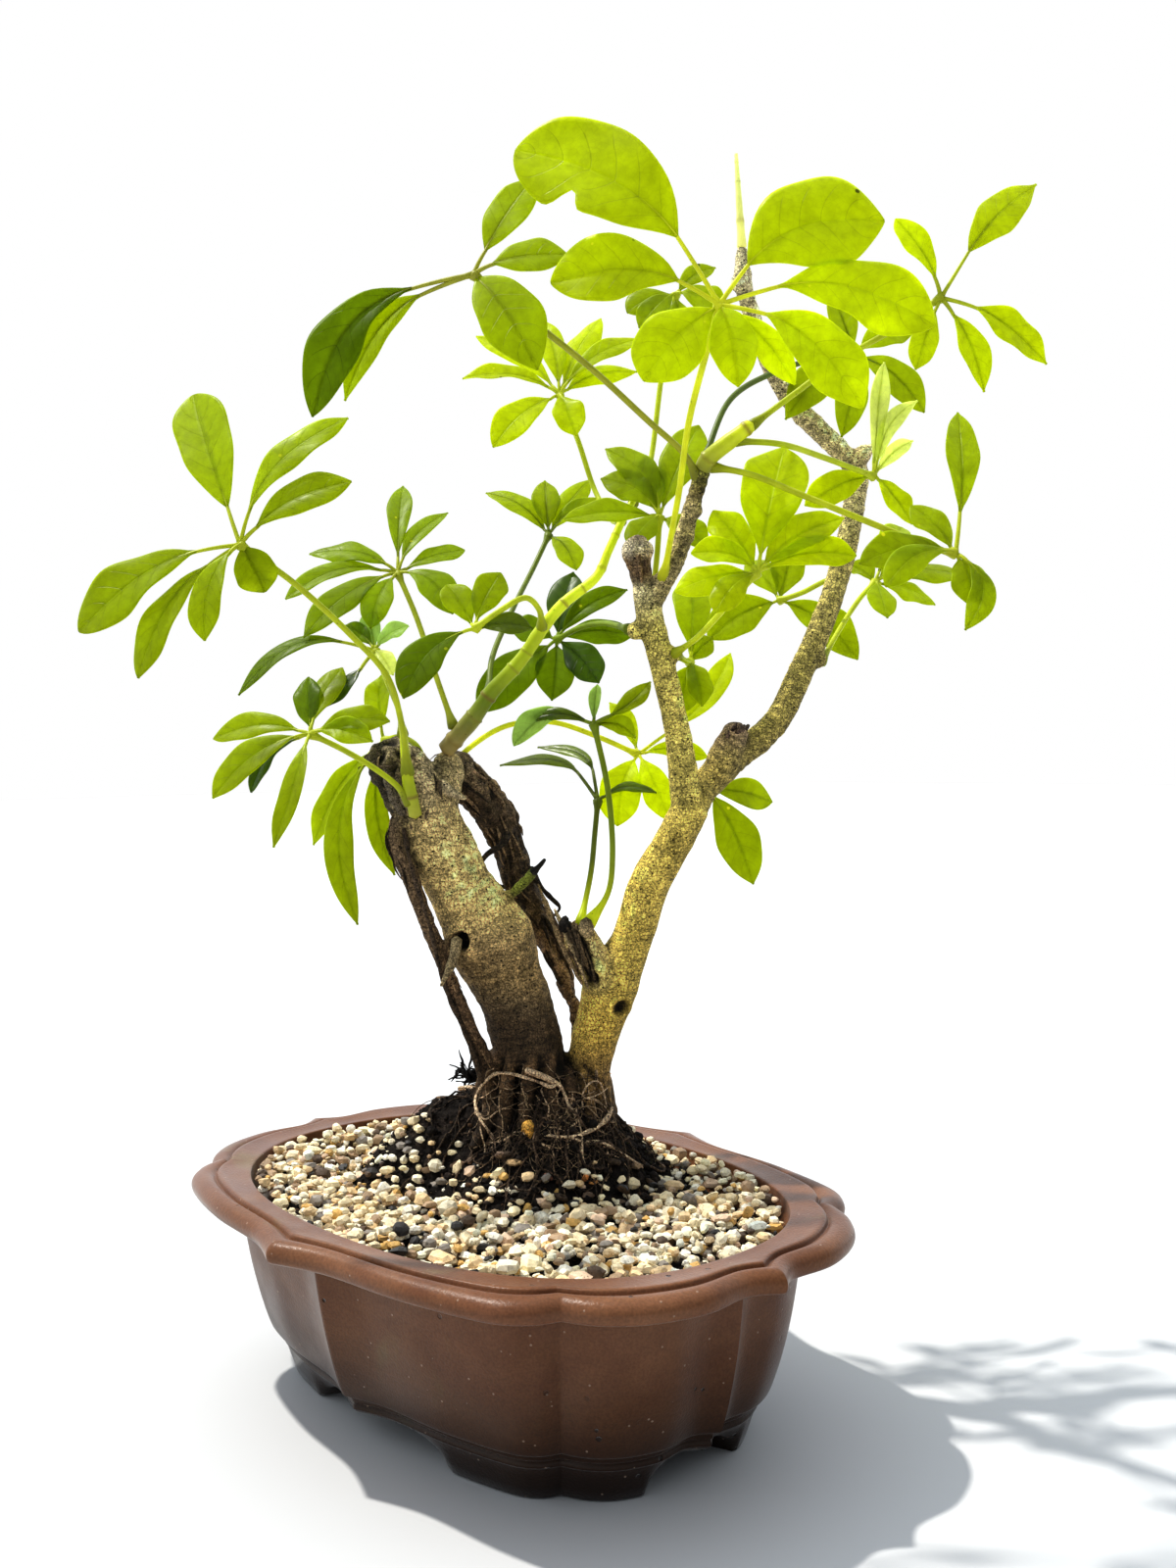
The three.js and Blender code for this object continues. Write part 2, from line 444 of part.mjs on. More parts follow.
// Compound leaves. hub: where the leaflets meet. face: which way the upper side looks, to the
// right, up and towards the viewer. stalk: share of each leaflet that is its own small stalk.
// petiole: spots from the hub down to the wood. leaflets: u and v of the tip, width, and where
// it is needed how far the tip stands in front of the leaf's own plane.
const LEAVES = {
  leaf_far_left: {
    hub: [245, 556, 50], face: [-0.2, 0.45, 0.87], stalk: 0.2,
    petiole: [[300, 595, 46], [360, 650, 38], [395, 690, 32], [410, 740, 26], [416, 790, 20]],
    leaflets: [[197, 402, 16], [356, 428, 11], [358, 490, 13], [82, 646, 16], [140, 691, 13],
      [210, 655, 11], [270, 604, 12, -8]],
  },
  leaf_left_upper: {
    hub: [406, 585, -14], face: [0, 0.7, 0.7], stalk: 0.14,
    petiole: [[425, 630, -8], [445, 690, 0], [463, 742, 5]],
    leaflets: [[411, 495, 8], [457, 525, 7], [474, 560, 8], [316, 567, 9], [291, 610, 8], [310, 652, 10],
      [378, 640, 9], [462, 628, 11]],
  },
  leaf_left_arched: {
    hub: [484, 642, 30], face: [0, 0.5, 0.85], stalk: 0.12,
    petiole: [[512, 622, 30], [536, 610, 26], [550, 622, 19], [553, 640, 12]],
    leaflets: [[455, 596, 9], [511, 586, 9], [543, 640, 7], [412, 714, 11]],
  },
  leaf_left_young: {
    hub: [383, 664, 4], face: [-0.3, 0.6, 0.74], stalk: 0.1,
    petiole: [[395, 695, 8], [407, 725, 14], [411, 750, 20]],
    leaflets: [[372, 622, 8], [418, 640, 7], [243, 708, 8, 14], [402, 690, 6], [338, 690, 8],
      [352, 640, 7]],
  },
  leaf_left_lower: {
    hub: [317, 749, 22], face: [-0.25, 0.55, 0.8], stalk: 0.13,
    petiole: [[350, 765, 22], [382, 784, 22], [405, 802, 21], [418, 820, 19]],
    leaflets: [[217, 753, 9], [218, 816, 11], [255, 808, 8, -7], [280, 866, 9], [397, 735, 8],
      [381, 758, 8], [314, 690, 8], [350, 683, 9, -6]],
  },
  leaf_left_hanging: {
    hub: [392, 756, -6], face: [-0.3, 0.25, 0.92], stalk: 0.16,
    petiole: [[408, 752, -2], [426, 762, 2], [436, 790, 5]],
    leaflets: [[319, 862, 10], [366, 944, 11], [402, 893, 8, -5], [390, 690, 9, -4]],
  },
  leaf_top_small: {
    hub: [571, 403, -32], face: [0, 0.6, 0.8], stalk: 0.12,
    petiole: [[590, 450, -28], [606, 498, -26], [624, 530, -14], [634, 532, 2]],
    leaflets: [[486, 342, 8], [472, 388, 8], [503, 455, 11], [553, 328, 8], [613, 324, 9], [652, 348, 8],
      [650, 378, 8, -6], [588, 446, 10]],
  },
  leaf_top_left: {
    hub: [483, 280, 56], face: [-0.15, 0.35, 0.92], stalk: 0.22,
    petiole: [[528, 316, 54], [601, 374, 50], [662, 430, 45], [698, 463, 41], [712, 488, 36]],
    leaflets: [[316, 422, 15], [350, 408, 12, -9], [546, 180, 12], [579, 250, 12], [548, 376, 16]],
  },
  leaf_top_front: {
    hub: [734, 311, 82], face: [0, 0.2, 0.98], stalk: 0.24,
    petiole: [[722, 355, 76], [703, 430, 62], [693, 501, 48], [683, 557, 34], [677, 592, 22]],
    leaflets: [[526, 152, 21], [562, 290, 17], [657, 388, 17], [902, 227, 22], [954, 330, 16],
      [880, 418, 16], [812, 392, 11, -7], [753, 396, 13]],
  },
  leaf_top_right: {
    hub: [960, 304, 28], face: [0.15, 0.3, 0.94], stalk: 0.26,
    petiole: [[910, 337, 31], [860, 366, 35], [809, 403, 39], [766, 435, 41]],
    leaflets: [[1058, 187, 12], [1067, 373, 12], [1005, 399, 10], [913, 225, 8], [935, 376, 8]],
  },
  leaf_right_outer: {
    hub: [975, 565, 46], face: [0.2, 0.5, 0.85], stalk: 0.12,
    petiole: [[955, 560, 47], [882, 531, 48], [818, 505, 46], [765, 484, 42], [724, 476, 37]],
    leaflets: [[978, 420, 11], [984, 644, 9], [930, 515, 9, -5], [876, 577, 10], [996, 620, 11],
      [903, 600, 8, 4]],
  },
  leaf_right_pale: {
    hub: [891, 486, 6], face: [0.25, 0.3, 0.92], stalk: 0.1,
    petiole: [[841, 467, 20], [795, 453, 34], [748, 450, 41]],
    leaflets: [[903, 369, 8], [935, 410, 8], [932, 449, 7], [930, 536, 8], [822, 515, 9]],
  },
  leaf_centre_right: {
    hub: [773, 584, 44], face: [0, 0.45, 0.89], stalk: 0.1,
    petiole: [[749, 610, 40], [712, 650, 28], [688, 667, 18]],
    leaflets: [[728, 520, 10], [705, 566, 8], [689, 603, 9], [861, 530, 11], [874, 566, 9],
      [800, 458, 17], [730, 624, 8, 4]],
  },
  leaf_behind_right: {
    hub: [795, 613, -44], face: [0, 0.35, 0.93], stalk: 0.08,
    petiole: [[818, 605, -38], [846, 592, -26], [852, 600, -18]],
    leaflets: [[722, 652, 14], [875, 674, 13], [808, 556, 11], [760, 575, 9, -6]],
  },
  leaf_right_flat: {
    hub: [893, 594, -42], face: [0.2, 0.75, 0.62], stalk: 0.1,
    petiole: [[878, 610, -36], [858, 640, -26], [838, 676, -14]],
    leaflets: [[866, 575, 9], [920, 540, 10], [955, 560, 11], [988, 590, 11], [955, 616, 11],
      [905, 632, 9]],
  },
  leaf_centre_dark: {
    hub: [568, 653, -24], face: [0, 0.45, 0.89], stalk: 0.1,
    petiole: [[590, 641, -16], [615, 636, -2], [642, 642, 17]],
    leaflets: [[563, 714, 12], [611, 698, 11], [487, 727, 14], [645, 650, 9], [585, 583, 11],
      [640, 603, 8], [520, 640, 9]],
  },
  leaf_centre_upper: {
    hub: [673, 527, 9], face: [0, 0.5, 0.86], stalk: 0.1,
    petiole: [[671, 560, 10], [668, 590, 12], [663, 622, 17]],
    leaflets: [[618, 457, 10], [613, 490, 10], [573, 530, 9, 4], [658, 470, 8], [713, 433, 12],
      [642, 560, 8, 4], [722, 560, 9]],
  },
  leaf_centre_back: {
    hub: [560, 546, -46], face: [0, 0.6, 0.8], stalk: 0.08,
    petiole: [[545, 578, -38], [524, 620, -22], [502, 672, -2], [499, 706, 9]],
    leaflets: [[496, 502, 8], [556, 492, 9], [601, 489, 8], [622, 513, 7], [588, 580, 8, 5]],
  },
  leaf_low_left: {
    hub: [606, 739, 14], face: [-0.15, 0.5, 0.85], stalk: 0.08,
    petiole: [[620, 804, 15], [625, 874, 14], [620, 912, 11], [598, 946, 8]],
    leaflets: [[524, 760, 12], [610, 700, 10], [538, 733, 8], [664, 697, 9], [648, 752, 8]],
  },
  leaf_low_arched: {
    hub: [610, 817, -14], face: [0, 0.7, 0.7], stalk: 0.1,
    petiole: [[607, 850, -10], [603, 890, -2], [592, 944, 7]],
    leaflets: [[510, 780, 9], [549, 764, 7, -6], [670, 808, 8]],
  },
  leaf_low_yellow: {
    hub: [651, 770, -28], face: [0, 0.5, 0.86], stalk: 0.1,
    petiole: [[608, 751, -26], [564, 737, -22], [519, 740, -16], [478, 764, -6], [458, 786, -3]],
    leaflets: [[630, 842, 13], [683, 838, 9], [722, 772, 9], [700, 730, 9, -4], [622, 716, 8, -6]],
  },
  leaf_behind_fork: {
    hub: [722, 806, -16], face: [0.25, 0.3, 0.92], stalk: 0.08,
    petiole: [[716, 812, -8], [710, 822, 4]],
    leaflets: [[789, 818, 9, -6], [768, 903, 13]],
  },
  leaf_at_knob: {
    hub: [704, 676, 2], face: [0.2, 0.45, 0.87], stalk: 0.08,
    petiole: [[699, 674, 8], [690, 668, 16]],
    leaflets: [[700, 726, 9], [722, 740, 9, 4], [745, 668, 9], [706, 590, 11, -4]],
  },
  leaf_behind_upper_right: {
    hub: [872, 362, -18], face: [0.2, 0.35, 0.91], stalk: 0.08,
    petiole: [[835, 366, -8], [790, 380, 6], [745, 408, 22], [718, 470, 36]],
    leaflets: [[944, 420, 11], [858, 447, 10, 4], [802, 427, 11], [932, 338, 9], [850, 300, 9]],
  },
  leaf_top_behind: {
    hub: [690, 300, -26], face: [0, 0.45, 0.89], stalk: 0.1,
    petiole: [[675, 385, -24], [664, 470, -20], [652, 508, -9], [646, 514, 0]],
    leaflets: [[640, 320, 10], [650, 262, 9], [722, 240, 10], [742, 318, 10], [700, 356, 9]],
  },
};

// Outline of a leaflet: share of its length and of its half width
const BLADE_LONG = [[0, 0.08], [0.22, 0.7], [0.54, 1], [0.84, 0.72], [1, 0.12]];
const BLADE_SHORT = [[0, 0.1], [0.34, 0.9], [0.74, 0.9], [1, 0.12]];
const LONG_LENGTH = 27;
const BOW = 0.07;
const LAYER = 0.55;

// One leaflet with its small stalk, from the hub to its tip, bowed along its length. Neighbours
// lie in two layers, one just above the other, as they do where they overlap.
function leaflet(hub, tip, stalk, face, width, layer) {
  const axis = tip.clone().sub(hub);
  const reach = axis.length();
  axis.normalize();
  const normal = face.clone().addScaledVector(axis, -face.dot(axis)).normalize();
  const side = new THREE.Vector3().crossVectors(axis, normal);
  const start = stalk * reach;
  const length = reach - start;
  const outline = length > LONG_LENGTH ? BLADE_LONG : BLADE_SHORT;
  const ring = (along, half, thick, rise) => [[-1, 0], [1, 0], [1, 1], [-1, 1]].map(([across, top]) => (
    hub.clone().addScaledVector(axis, along).addScaledVector(side, across * half)
      .addScaledVector(normal, rise + (top - 0.5) * thick)
  ));
  const blade = outline.map(([t, share]) => ring(
    start + t * length,
    Math.max(share * width * WIDTH_GAIN * 0.5, STALK_HALF),
    t === 0 ? STALK_HALF * 2 : BLADE_THICK,
    layer + BOW * length * 4 * t * (1 - t),
  ));
  return solid(loft([ring(HUB_RADIUS * 0.4, STALK_HALF, STALK_HALF * 2, layer * 0.4), ...blade]));
}

function buildLeaf({ hub, face, stalk, petiole, leaflets }, wood) {
  const [right, up, near] = face;
  const look = RIGHT.clone().multiplyScalar(right).addScaledVector(UPWARD, up)
    .addScaledVector(AHEAD, -near).normalize();
  const middle = spot(...hub);
  const scale = (TRUNK_REACH - hub[2]) / FOCAL;
  const stations = [hub, ...petiole].map((place) => [...place, PETIOLE_RADIUS]);
  const heart = new THREE.OctahedronGeometry(HUB_RADIUS);
  heart.translate(middle.x, middle.y, middle.z);
  const bodies = [stem(stations, 4, 1), solid(heart)];
  leaflets.forEach(([u, v, width, lift = 0], i) => {
    const slope = -(right * (u - hub[0]) - up * (v - hub[1])) * scale / near;
    const tip = spot(u, v, hub[2] + slope + lift);
    bodies.push(leaflet(middle, tip, stalk, look, width, i % 2 ? LAYER : -LAYER));
  });
  return largest(join(bodies).subtract(wood));
}

const FINISH = {
  clay: { color: 0x7a5546, roughness: 0.75, metalness: 0 },
  soil: { color: 0x1d1713, roughness: 1, metalness: 0 },
  gravel: { color: 0xcdb894, roughness: 0.85, metalness: 0 },
  screen: { color: 0x2a2c2a, roughness: 0.6, metalness: 0 },
  bark: { color: 0x8d7a4c, roughness: 0.9, metalness: 0 },
  greenStem: { color: 0x86a035, roughness: 0.6, metalness: 0 },
  leaf: { color: 0x8cb81e, roughness: 0.5, metalness: 0 },
};

const plan = potPlan();
const wood = buildWood(0);
const woodSeat = buildWood(SEAT_GAP);
const stems = Object.entries(GREEN_STEMS).map(([name, stations]) => (
  [name, largest(stem(stations, 6, 1).subtract(woodSeat))]
));
const stemSeats = Object.values(GREEN_STEMS).map((stations) => stem(stations, 6, 1, SEAT_GAP));
const seats = join([woodSeat, ...stemSeats]);

const object = new THREE.Group();
object.add(piece('pot', buildPot(plan), FINISH.clay));
object.add(piece('drainage_screen_left', buildScreen(-DRAIN_X), FINISH.screen));
object.add(piece('drainage_screen_right', buildScreen(DRAIN_X), FINISH.screen));
object.add(piece('soil', buildSoil(plan, woodSeat), FINISH.soil));
object.add(piece('gravel', buildGravel(plan, woodSeat), FINISH.gravel));
object.add(piece('wood', wood, FINISH.bark));
for (const [name, body] of stems) object.add(piece(name, body, FINISH.greenStem));
for (const [name, leaf] of Object.entries(LEAVES)) {
  object.add(piece(name, buildLeaf(leaf, seats), FINISH.leaf));
}

const box = new THREE.Box3().setFromObject(object);
object.position.set(-(box.min.x + box.max.x) / 2, -(box.min.y + box.max.y) / 2, -box.min.z);
const group = new THREE.Group();
group.add(object);

export default group;
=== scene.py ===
"""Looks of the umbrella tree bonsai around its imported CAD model. Shapes are worked out in millimetres,
with the pot's middle as origin, and add_piece puts them into the frame, in metres."""
import math

import bpy
import numpy as np
from mathutils import Matrix, Vector
from mathutils.bvhtree import BVHTree


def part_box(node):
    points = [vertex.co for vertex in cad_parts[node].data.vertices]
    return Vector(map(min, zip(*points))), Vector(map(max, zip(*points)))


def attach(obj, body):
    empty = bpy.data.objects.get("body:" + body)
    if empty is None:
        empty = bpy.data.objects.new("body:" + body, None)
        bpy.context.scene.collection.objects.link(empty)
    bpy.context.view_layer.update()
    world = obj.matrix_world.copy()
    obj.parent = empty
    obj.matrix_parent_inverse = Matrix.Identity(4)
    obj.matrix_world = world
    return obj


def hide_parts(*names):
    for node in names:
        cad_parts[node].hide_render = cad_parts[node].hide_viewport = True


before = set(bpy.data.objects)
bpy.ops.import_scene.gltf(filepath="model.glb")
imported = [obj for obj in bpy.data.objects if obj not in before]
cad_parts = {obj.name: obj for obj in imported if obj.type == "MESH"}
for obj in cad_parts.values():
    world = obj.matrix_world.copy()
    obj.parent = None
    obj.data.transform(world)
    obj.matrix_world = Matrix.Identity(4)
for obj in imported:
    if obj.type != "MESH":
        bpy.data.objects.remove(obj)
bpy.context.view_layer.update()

# The eye and its turn, pitch and roll, the focal length and the middle of the picture in its pixels, and
# how far ahead the trunk's plane is; the picture places u, v in this file are in those pixels

POT_LOW, POT_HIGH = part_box("pot")
POT_PLACE = np.array([(POT_LOW.x + POT_HIGH.x) / 2, (POT_LOW.y + POT_HIGH.y) / 2, 0.0])

EYE = np.array([318.7, -257.3, 177.0])
TURN, PITCH, ROLL = (math.radians(angle) for angle in (47.7, 1.2, -0.7))
FOCAL = 1500
PICTURE_MIDDLE = (600, 800)
TRUNK_REACH = 428
RIGHT = np.array([math.cos(TURN), math.sin(TURN), 0.0])
AHEAD = np.array([-math.sin(TURN) * math.cos(PITCH), math.cos(TURN) * math.cos(PITCH), -math.sin(PITCH)])
UPWARD = np.cross(RIGHT, AHEAD)

# The lip's half length and width, the oval opening, a quarter of the lip's plan, and the drain holes
HALF_L, HALF_W = 102, 76
OPENING_L, OPENING_W, OPENING_POWER = 85, 59.5, 2.3
SHORT_RUN = [[102, 0], [97.5, 8], [98, 22], [93.5, 35.5], [86.5, 44], [78.5, 48.5]]
LONG_RUN = [[78.5, 48.5], [75, 55.5], [66, 61.5], [42, 67.5], [16, 70.5], [0, 76]]
DRAIN_X, DRAIN_RADIUS, DRAIN_SIDES = 40, 8, 40
FLOOR_UNDER, FLOOR_TOP = 9, 15
# Arches between the feet: half their length on the long and the short side, height, and the plinth
ARCH_L, ARCH_W, ARCH_RISE, PLINTH = 40, 25, 7, 8.8

# Soil: its level, its grid, how far it stays inside the opening, its floor and the cover over the
# screens; then the level of the pebbles and the middle of the mound
SOIL_LEVEL = 49.5
SOIL_SIDES, SOIL_RINGS, FLOOR_RINGS = 300, 104, 50
SOIL_INSET, SOIL_FOOT = 5.6, 15.4
SCREEN_HALF, SCREEN_COVER = 13.5, 17.2
GRAVEL_LEVEL = 54.2
MOUND_CENTRE = np.array([-6.0, 20.0])


def spot(places):
    """Points of the tree from rows that start with the picture place u, v and the distance in front of
    the trunk's plane: from the eye straight ahead to the reach, then across and down by the picture
    place over the focal length."""
    rows = np.asarray(places, float)
    u, v, near = rows[..., 0] - PICTURE_MIDDLE[0], rows[..., 1] - PICTURE_MIDDLE[1], rows[..., 2]
    reach = (TRUNK_REACH - near)[..., None]
    across = ((u * math.cos(ROLL) + v * math.sin(ROLL)) / FOCAL)[..., None]
    down = ((v * math.cos(ROLL) - u * math.sin(ROLL)) / FOCAL)[..., None]
    return EYE + reach * (AHEAD + across * RIGHT - down * UPWARD)


def picture(points):
    """Picture places u, v of points, the other way round from spot."""
    rays = points - EYE
    reach = rays @ AHEAD
    across, down = rays @ RIGHT / reach * FOCAL, -(rays @ UPWARD) / reach * FOCAL
    return (PICTURE_MIDDLE[0] + across * math.cos(ROLL) - down * math.sin(ROLL),
            PICTURE_MIDDLE[1] + down * math.cos(ROLL) + across * math.sin(ROLL))


# Numbers and meshes


def noise(points, cell, seed=0):
    """Smooth noise from -1 to 1: a mixed-up whole number at each corner of cubes with side cell, and
    between the corners their blend by 3t^2 - 2t^3 along each axis."""
    place = np.asarray(points, float) / cell + 1000
    base = np.floor(place).astype(np.int64)
    part = place - base
    part = part * part * (3 - 2 * part)
    total = np.zeros(place.shape[:-1])
    for corner in np.ndindex(2, 2, 2):
        at = base + np.array(corner)
        code = at[..., 0] * 73856093 ^ at[..., 1] * 19349663 ^ at[..., 2] * 83492791 ^ (seed + 1) * 2654435
        code = (code ^ (code >> 13)) * 1274126177 & 0x7FFFFFFF
        value = ((code ^ (code >> 15)) & 0xFFFF) / 32767.5 - 1
        total += value * np.prod(np.where(corner, part, 1 - part), axis=-1)
    return total


def unit(vectors):
    """Vectors divided by their own length."""
    return vectors / np.maximum(np.linalg.norm(vectors, axis=-1, keepdims=True), 1e-12)


def directions(turn):
    """Level directions x, y at some turns."""
    return np.stack([np.cos(turn), np.sin(turn)], -1)


def smoothstep(low, high, value):
    """0 below low, 1 above high and 3t^2 - 2t^3 between."""
    part = np.clip((value - low) / (high - low), 0, 1)
    return part * part * (3 - 2 * part)


def spans(x1, x2, m1, m2, steps):
    """Curves from x1 to x2 with slopes m1 and m2 there, one after the other: at each of the steps t the
    sum of x1 (2t^3 - 3t^2 + 1), m1 (t^3 - 2t^2 + t), x2 (3t^2 - 2t^3) and m2 (t^3 - t^2)."""
    t = np.linspace(0, 1, steps, endpoint=False)[:, None]
    x1, x2, m1, m2 = (value[:, None] for value in (x1, x2, m1, m2))
    return (x1 * (2 * t**3 - 3 * t**2 + 1) + m1 * (t**3 - 2 * t**2 + t)
            + x2 * (3 * t**2 - 2 * t**3) + m2 * (t**3 - t**2)).reshape(-1, x1.shape[-1])


def smooth_line(knots, steps):
    """Centripetal Catmull-Rom curve through the first three columns of the knots, with the other
    columns blended straight from knot to knot; steps samples for each span, and the last knot."""
    knots = np.asarray(knots, float)
    p = knots[:, :3]
    ends = np.vstack([2 * p[0] - p[1], p, 2 * p[-1] - p[-2]])
    gap = np.linalg.norm(np.diff(ends, axis=0), axis=1)[:, None] ** 0.5
    g0, g1, g2 = gap[:-2], gap[1:-1], gap[2:]
    x0, x1, x2, x3 = ends[:-3], ends[1:-2], ends[2:-1], ends[3:]
    m1 = ((x1 - x0) / g0 - (x2 - x0) / (g0 + g1) + (x2 - x1) / g1) * g1
    m2 = ((x2 - x1) / g1 - (x3 - x1) / (g1 + g2) + (x3 - x2) / g2) * g1
    line = spans(x1, x2, m1, m2, steps)
    t = np.linspace(0, 1, steps, endpoint=False)[:, None]
    rest = (knots[:-1, None, 3:] * (1 - t) + knots[1:, None, 3:] * t).reshape(len(line), -1)
    return np.vstack([np.hstack([line, rest]), knots[-1]])


def blended(at, places, table):
    """Rows of a table at some places, each column blended straight between the places of its rows."""
    return np.stack([np.interp(at, places, column) for column in np.asarray(table, float).T], -1)


def limb_line(rows, steps):
    """Curve in space through rows of u, v, distance in front and radius, with the radius."""
    knots = np.asarray(rows, float)
    return smooth_line(np.hstack([spot(knots), knots[:, 3:4]]), steps)


def arc_length(line):
    """Length along a line of points from its start to each of them."""
    return np.concatenate([[0], np.cumsum(np.linalg.norm(np.diff(line[:, :3], axis=0), axis=1))])


def repeated(faces, count, stride):
    """Corner numbers of faces for count equal shapes, one after the other, stride points each."""
    return (faces[None] + (np.arange(count) * stride)[:, None, None]).reshape(-1, faces.shape[1])


def grid_quads(rows, columns, wrap=True):
    """Corner numbers of the quads between the rows of a grid, closed round its columns with wrap."""
    i, j = np.meshgrid(np.arange(rows - 1), np.arange(columns if wrap else columns - 1), indexing="ij")
    k = (j + 1) % columns
    corners = [i * columns + j, i * columns + k, (i + 1) * columns + k, (i + 1) * columns + j]
    return np.stack(corners, -1).reshape(-1, 4)


def capped(rows, columns):
    """Faces of a closed body of rings: the quads between them, and fans from the first and the last ring
    to the two points that come after all rings."""
    ring, last, pole = np.arange(columns), (rows - 1) * columns, rows * columns
    ahead = (ring + 1) % columns
    fans = [np.stack([np.full(columns, pole), ahead, ring], -1),
            np.stack([np.full(columns, pole + 1), last + ring, last + ahead], -1)]
    return [grid_quads(rows, columns), np.concatenate(fans)]


def volume(points, faces):
    """Volume in closed faces: a sixth of the sum of a . (b x c) over their triangles."""
    total = 0
    for rows in faces:
        for i in range(1, rows.shape[1] - 1):
            a, b, c = points[rows[:, 0]], points[rows[:, i]], points[rows[:, i + 1]]
            total += np.sum(a * np.cross(b, c)) / 6
    return total


def shape(points, faces, tint=(1, 1, 1), uv=None, finish=0):
    """A closed shape with its faces turned outwards, a colour and a pattern place for each point."""
    points = np.asarray(points, float).reshape(-1, 3)
    if volume(points - points.mean(0), faces) < 0:
        faces = [rows[:, ::-1] for rows in faces]
    tint = np.broadcast_to(np.asarray(tint, float).reshape(-1, 3), points.shape)
    uv = np.zeros((len(points), 2)) if uv is None else np.asarray(uv, float).reshape(-1, 2)
    return {"points": points, "faces": faces, "tint": tint, "uv": uv, "finish": finish}


def fill(rows, key, values, kind=np.float32):
    """Values written into a mesh's rows."""
    rows.foreach_set(key, np.ravel(values).astype(kind))


def taken(rows, key, width, kind=np.int32):
    """Values read from a mesh's rows, as rows of that width."""
    values = np.empty(len(rows) * len(np.ravel(getattr(rows[0], key))), kind)
    rows.foreach_get(key, values)
    return values.reshape(-1, width)


def add_piece(name, shapes, finishes, nodes=(), sharp=None, stage=False):
    """One object from shapes, with tint as a colour attribute and the pattern places as a UV map."""
    points, tint, uv = (np.concatenate([s[key] for s in shapes]) for key in ("points", "tint", "uv"))
    starts = np.cumsum([0] + [len(s["points"]) for s in shapes])
    faces = [(rows + start, s["finish"]) for s, start in zip(shapes, starts) for rows in s["faces"]]
    corners = np.concatenate([rows.ravel() for rows, _ in faces])
    sizes = np.concatenate([np.full(len(rows), rows.shape[1]) for rows, _ in faces])
    mesh = bpy.data.meshes.new(name)
    mesh.vertices.add(len(points))
    fill(mesh.vertices, "co", points * 0.001 + POT_PLACE)
    mesh.loops.add(len(corners))
    fill(mesh.loops, "vertex_index", corners, np.int32)
    mesh.polygons.add(len(sizes))
    fill(mesh.polygons, "loop_start", np.cumsum(sizes) - sizes, np.int32)
    numbers = np.concatenate([np.full(len(rows), finish) for rows, finish in faces])
    fill(mesh.polygons, "material_index", numbers, np.int32)
    mesh.update(calc_edges=True)
    colour = mesh.attributes.new("tint", "FLOAT_COLOR", "POINT")
    fill(colour.data, "color", np.hstack([tint, np.ones((len(tint), 1))]))
    fill(mesh.uv_layers.new(name="UVMap").data, "uv", uv[corners])
    mesh.shade_smooth()
    if sharp:
        mesh.set_sharp_from_angle(angle=math.radians(sharp))
    for finish in finishes:
        mesh.materials.append(finish)
    piece = bpy.data.objects.new(name, mesh)
    bpy.context.scene.collection.objects.link(piece)
    if stage:
        return piece
    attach(piece, "root")
    if nodes:
        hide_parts(*nodes)
    return piece


def worked_out(piece):
    """The mesh that a piece has with its modifiers."""
    bpy.context.view_layer.update()
    return bpy.data.meshes.new_from_object(piece.evaluated_get(bpy.context.evaluated_depsgraph_get()))


def tubes(lines, radii, sides, tint=(1, 1, 1), finish=0):
    """Round closed tubes as one shape: at each station of each line a ring at its radius, in a frame
    that is carried along without turning about the line, and a point beyond each end. The tint is one
    colour, or one for each line or station."""
    lines = lines.reshape(-1, *lines.shape[-2:])
    count, stations = lines.shape[:2]
    along = unit(np.gradient(lines, axis=1))
    side = np.empty_like(lines)
    upright = np.abs(along[:, 0, 2:]) > 0.9
    side[:, 0] = unit(np.cross(along[:, 0], np.where(upright, [[1.0, 0, 0]], [[0, 0, 1.0]])))
    for i in range(1, stations):
        level = np.sum(side[:, i - 1] * along[:, i], -1, keepdims=True)
        side[:, i] = unit(side[:, i - 1] - along[:, i] * level)
    other = np.cross(along, side)
    turn = (np.arange(sides) / sides * 2 * np.pi)[:, None]
    reach = np.broadcast_to(radii, (count, stations))[:, :, None, None]
    rings = lines[:, :, None] + reach * (side[:, :, None] * np.cos(turn) + other[:, :, None] * np.sin(turn))
    tips = np.stack([lines[:, 0] - along[:, 0] * reach[:, 0, 0] * 0.6,
                     lines[:, -1] + along[:, -1] * reach[:, -1, 0] * 0.6], 1)
    points = np.concatenate([rings.reshape(count, -1, 3), tips], 1)
    faces = [repeated(rows, count, stations * sides + 2) for rows in capped(stations, sides)]
    tint = np.broadcast_to(tint, lines.shape)
    tint = np.concatenate([np.repeat(tint, sides, 1), tint[:, :1], tint[:, -1:]], 1)
    return shape(points, faces, tint, finish=finish)


def twig(knots, sides, steps, tint, rough, seed):
    """A tube through rows of u, v, distance in front and radius, its radius varied by noise, with
    tint as one colour or a colour for each knot."""
    knots = np.asarray(knots, float)
    tint = np.broadcast_to(np.asarray(tint, float), (len(knots), 3))
    line = smooth_line(np.hstack([spot(knots), knots[:, 3:4], tint]), steps)
    radii = line[:, 3] * (1 + rough * noise(line[:, :3], 2.5, seed))
    return tubes(line[:, :3], radii, sides, line[:, 4:7])


# Finishes


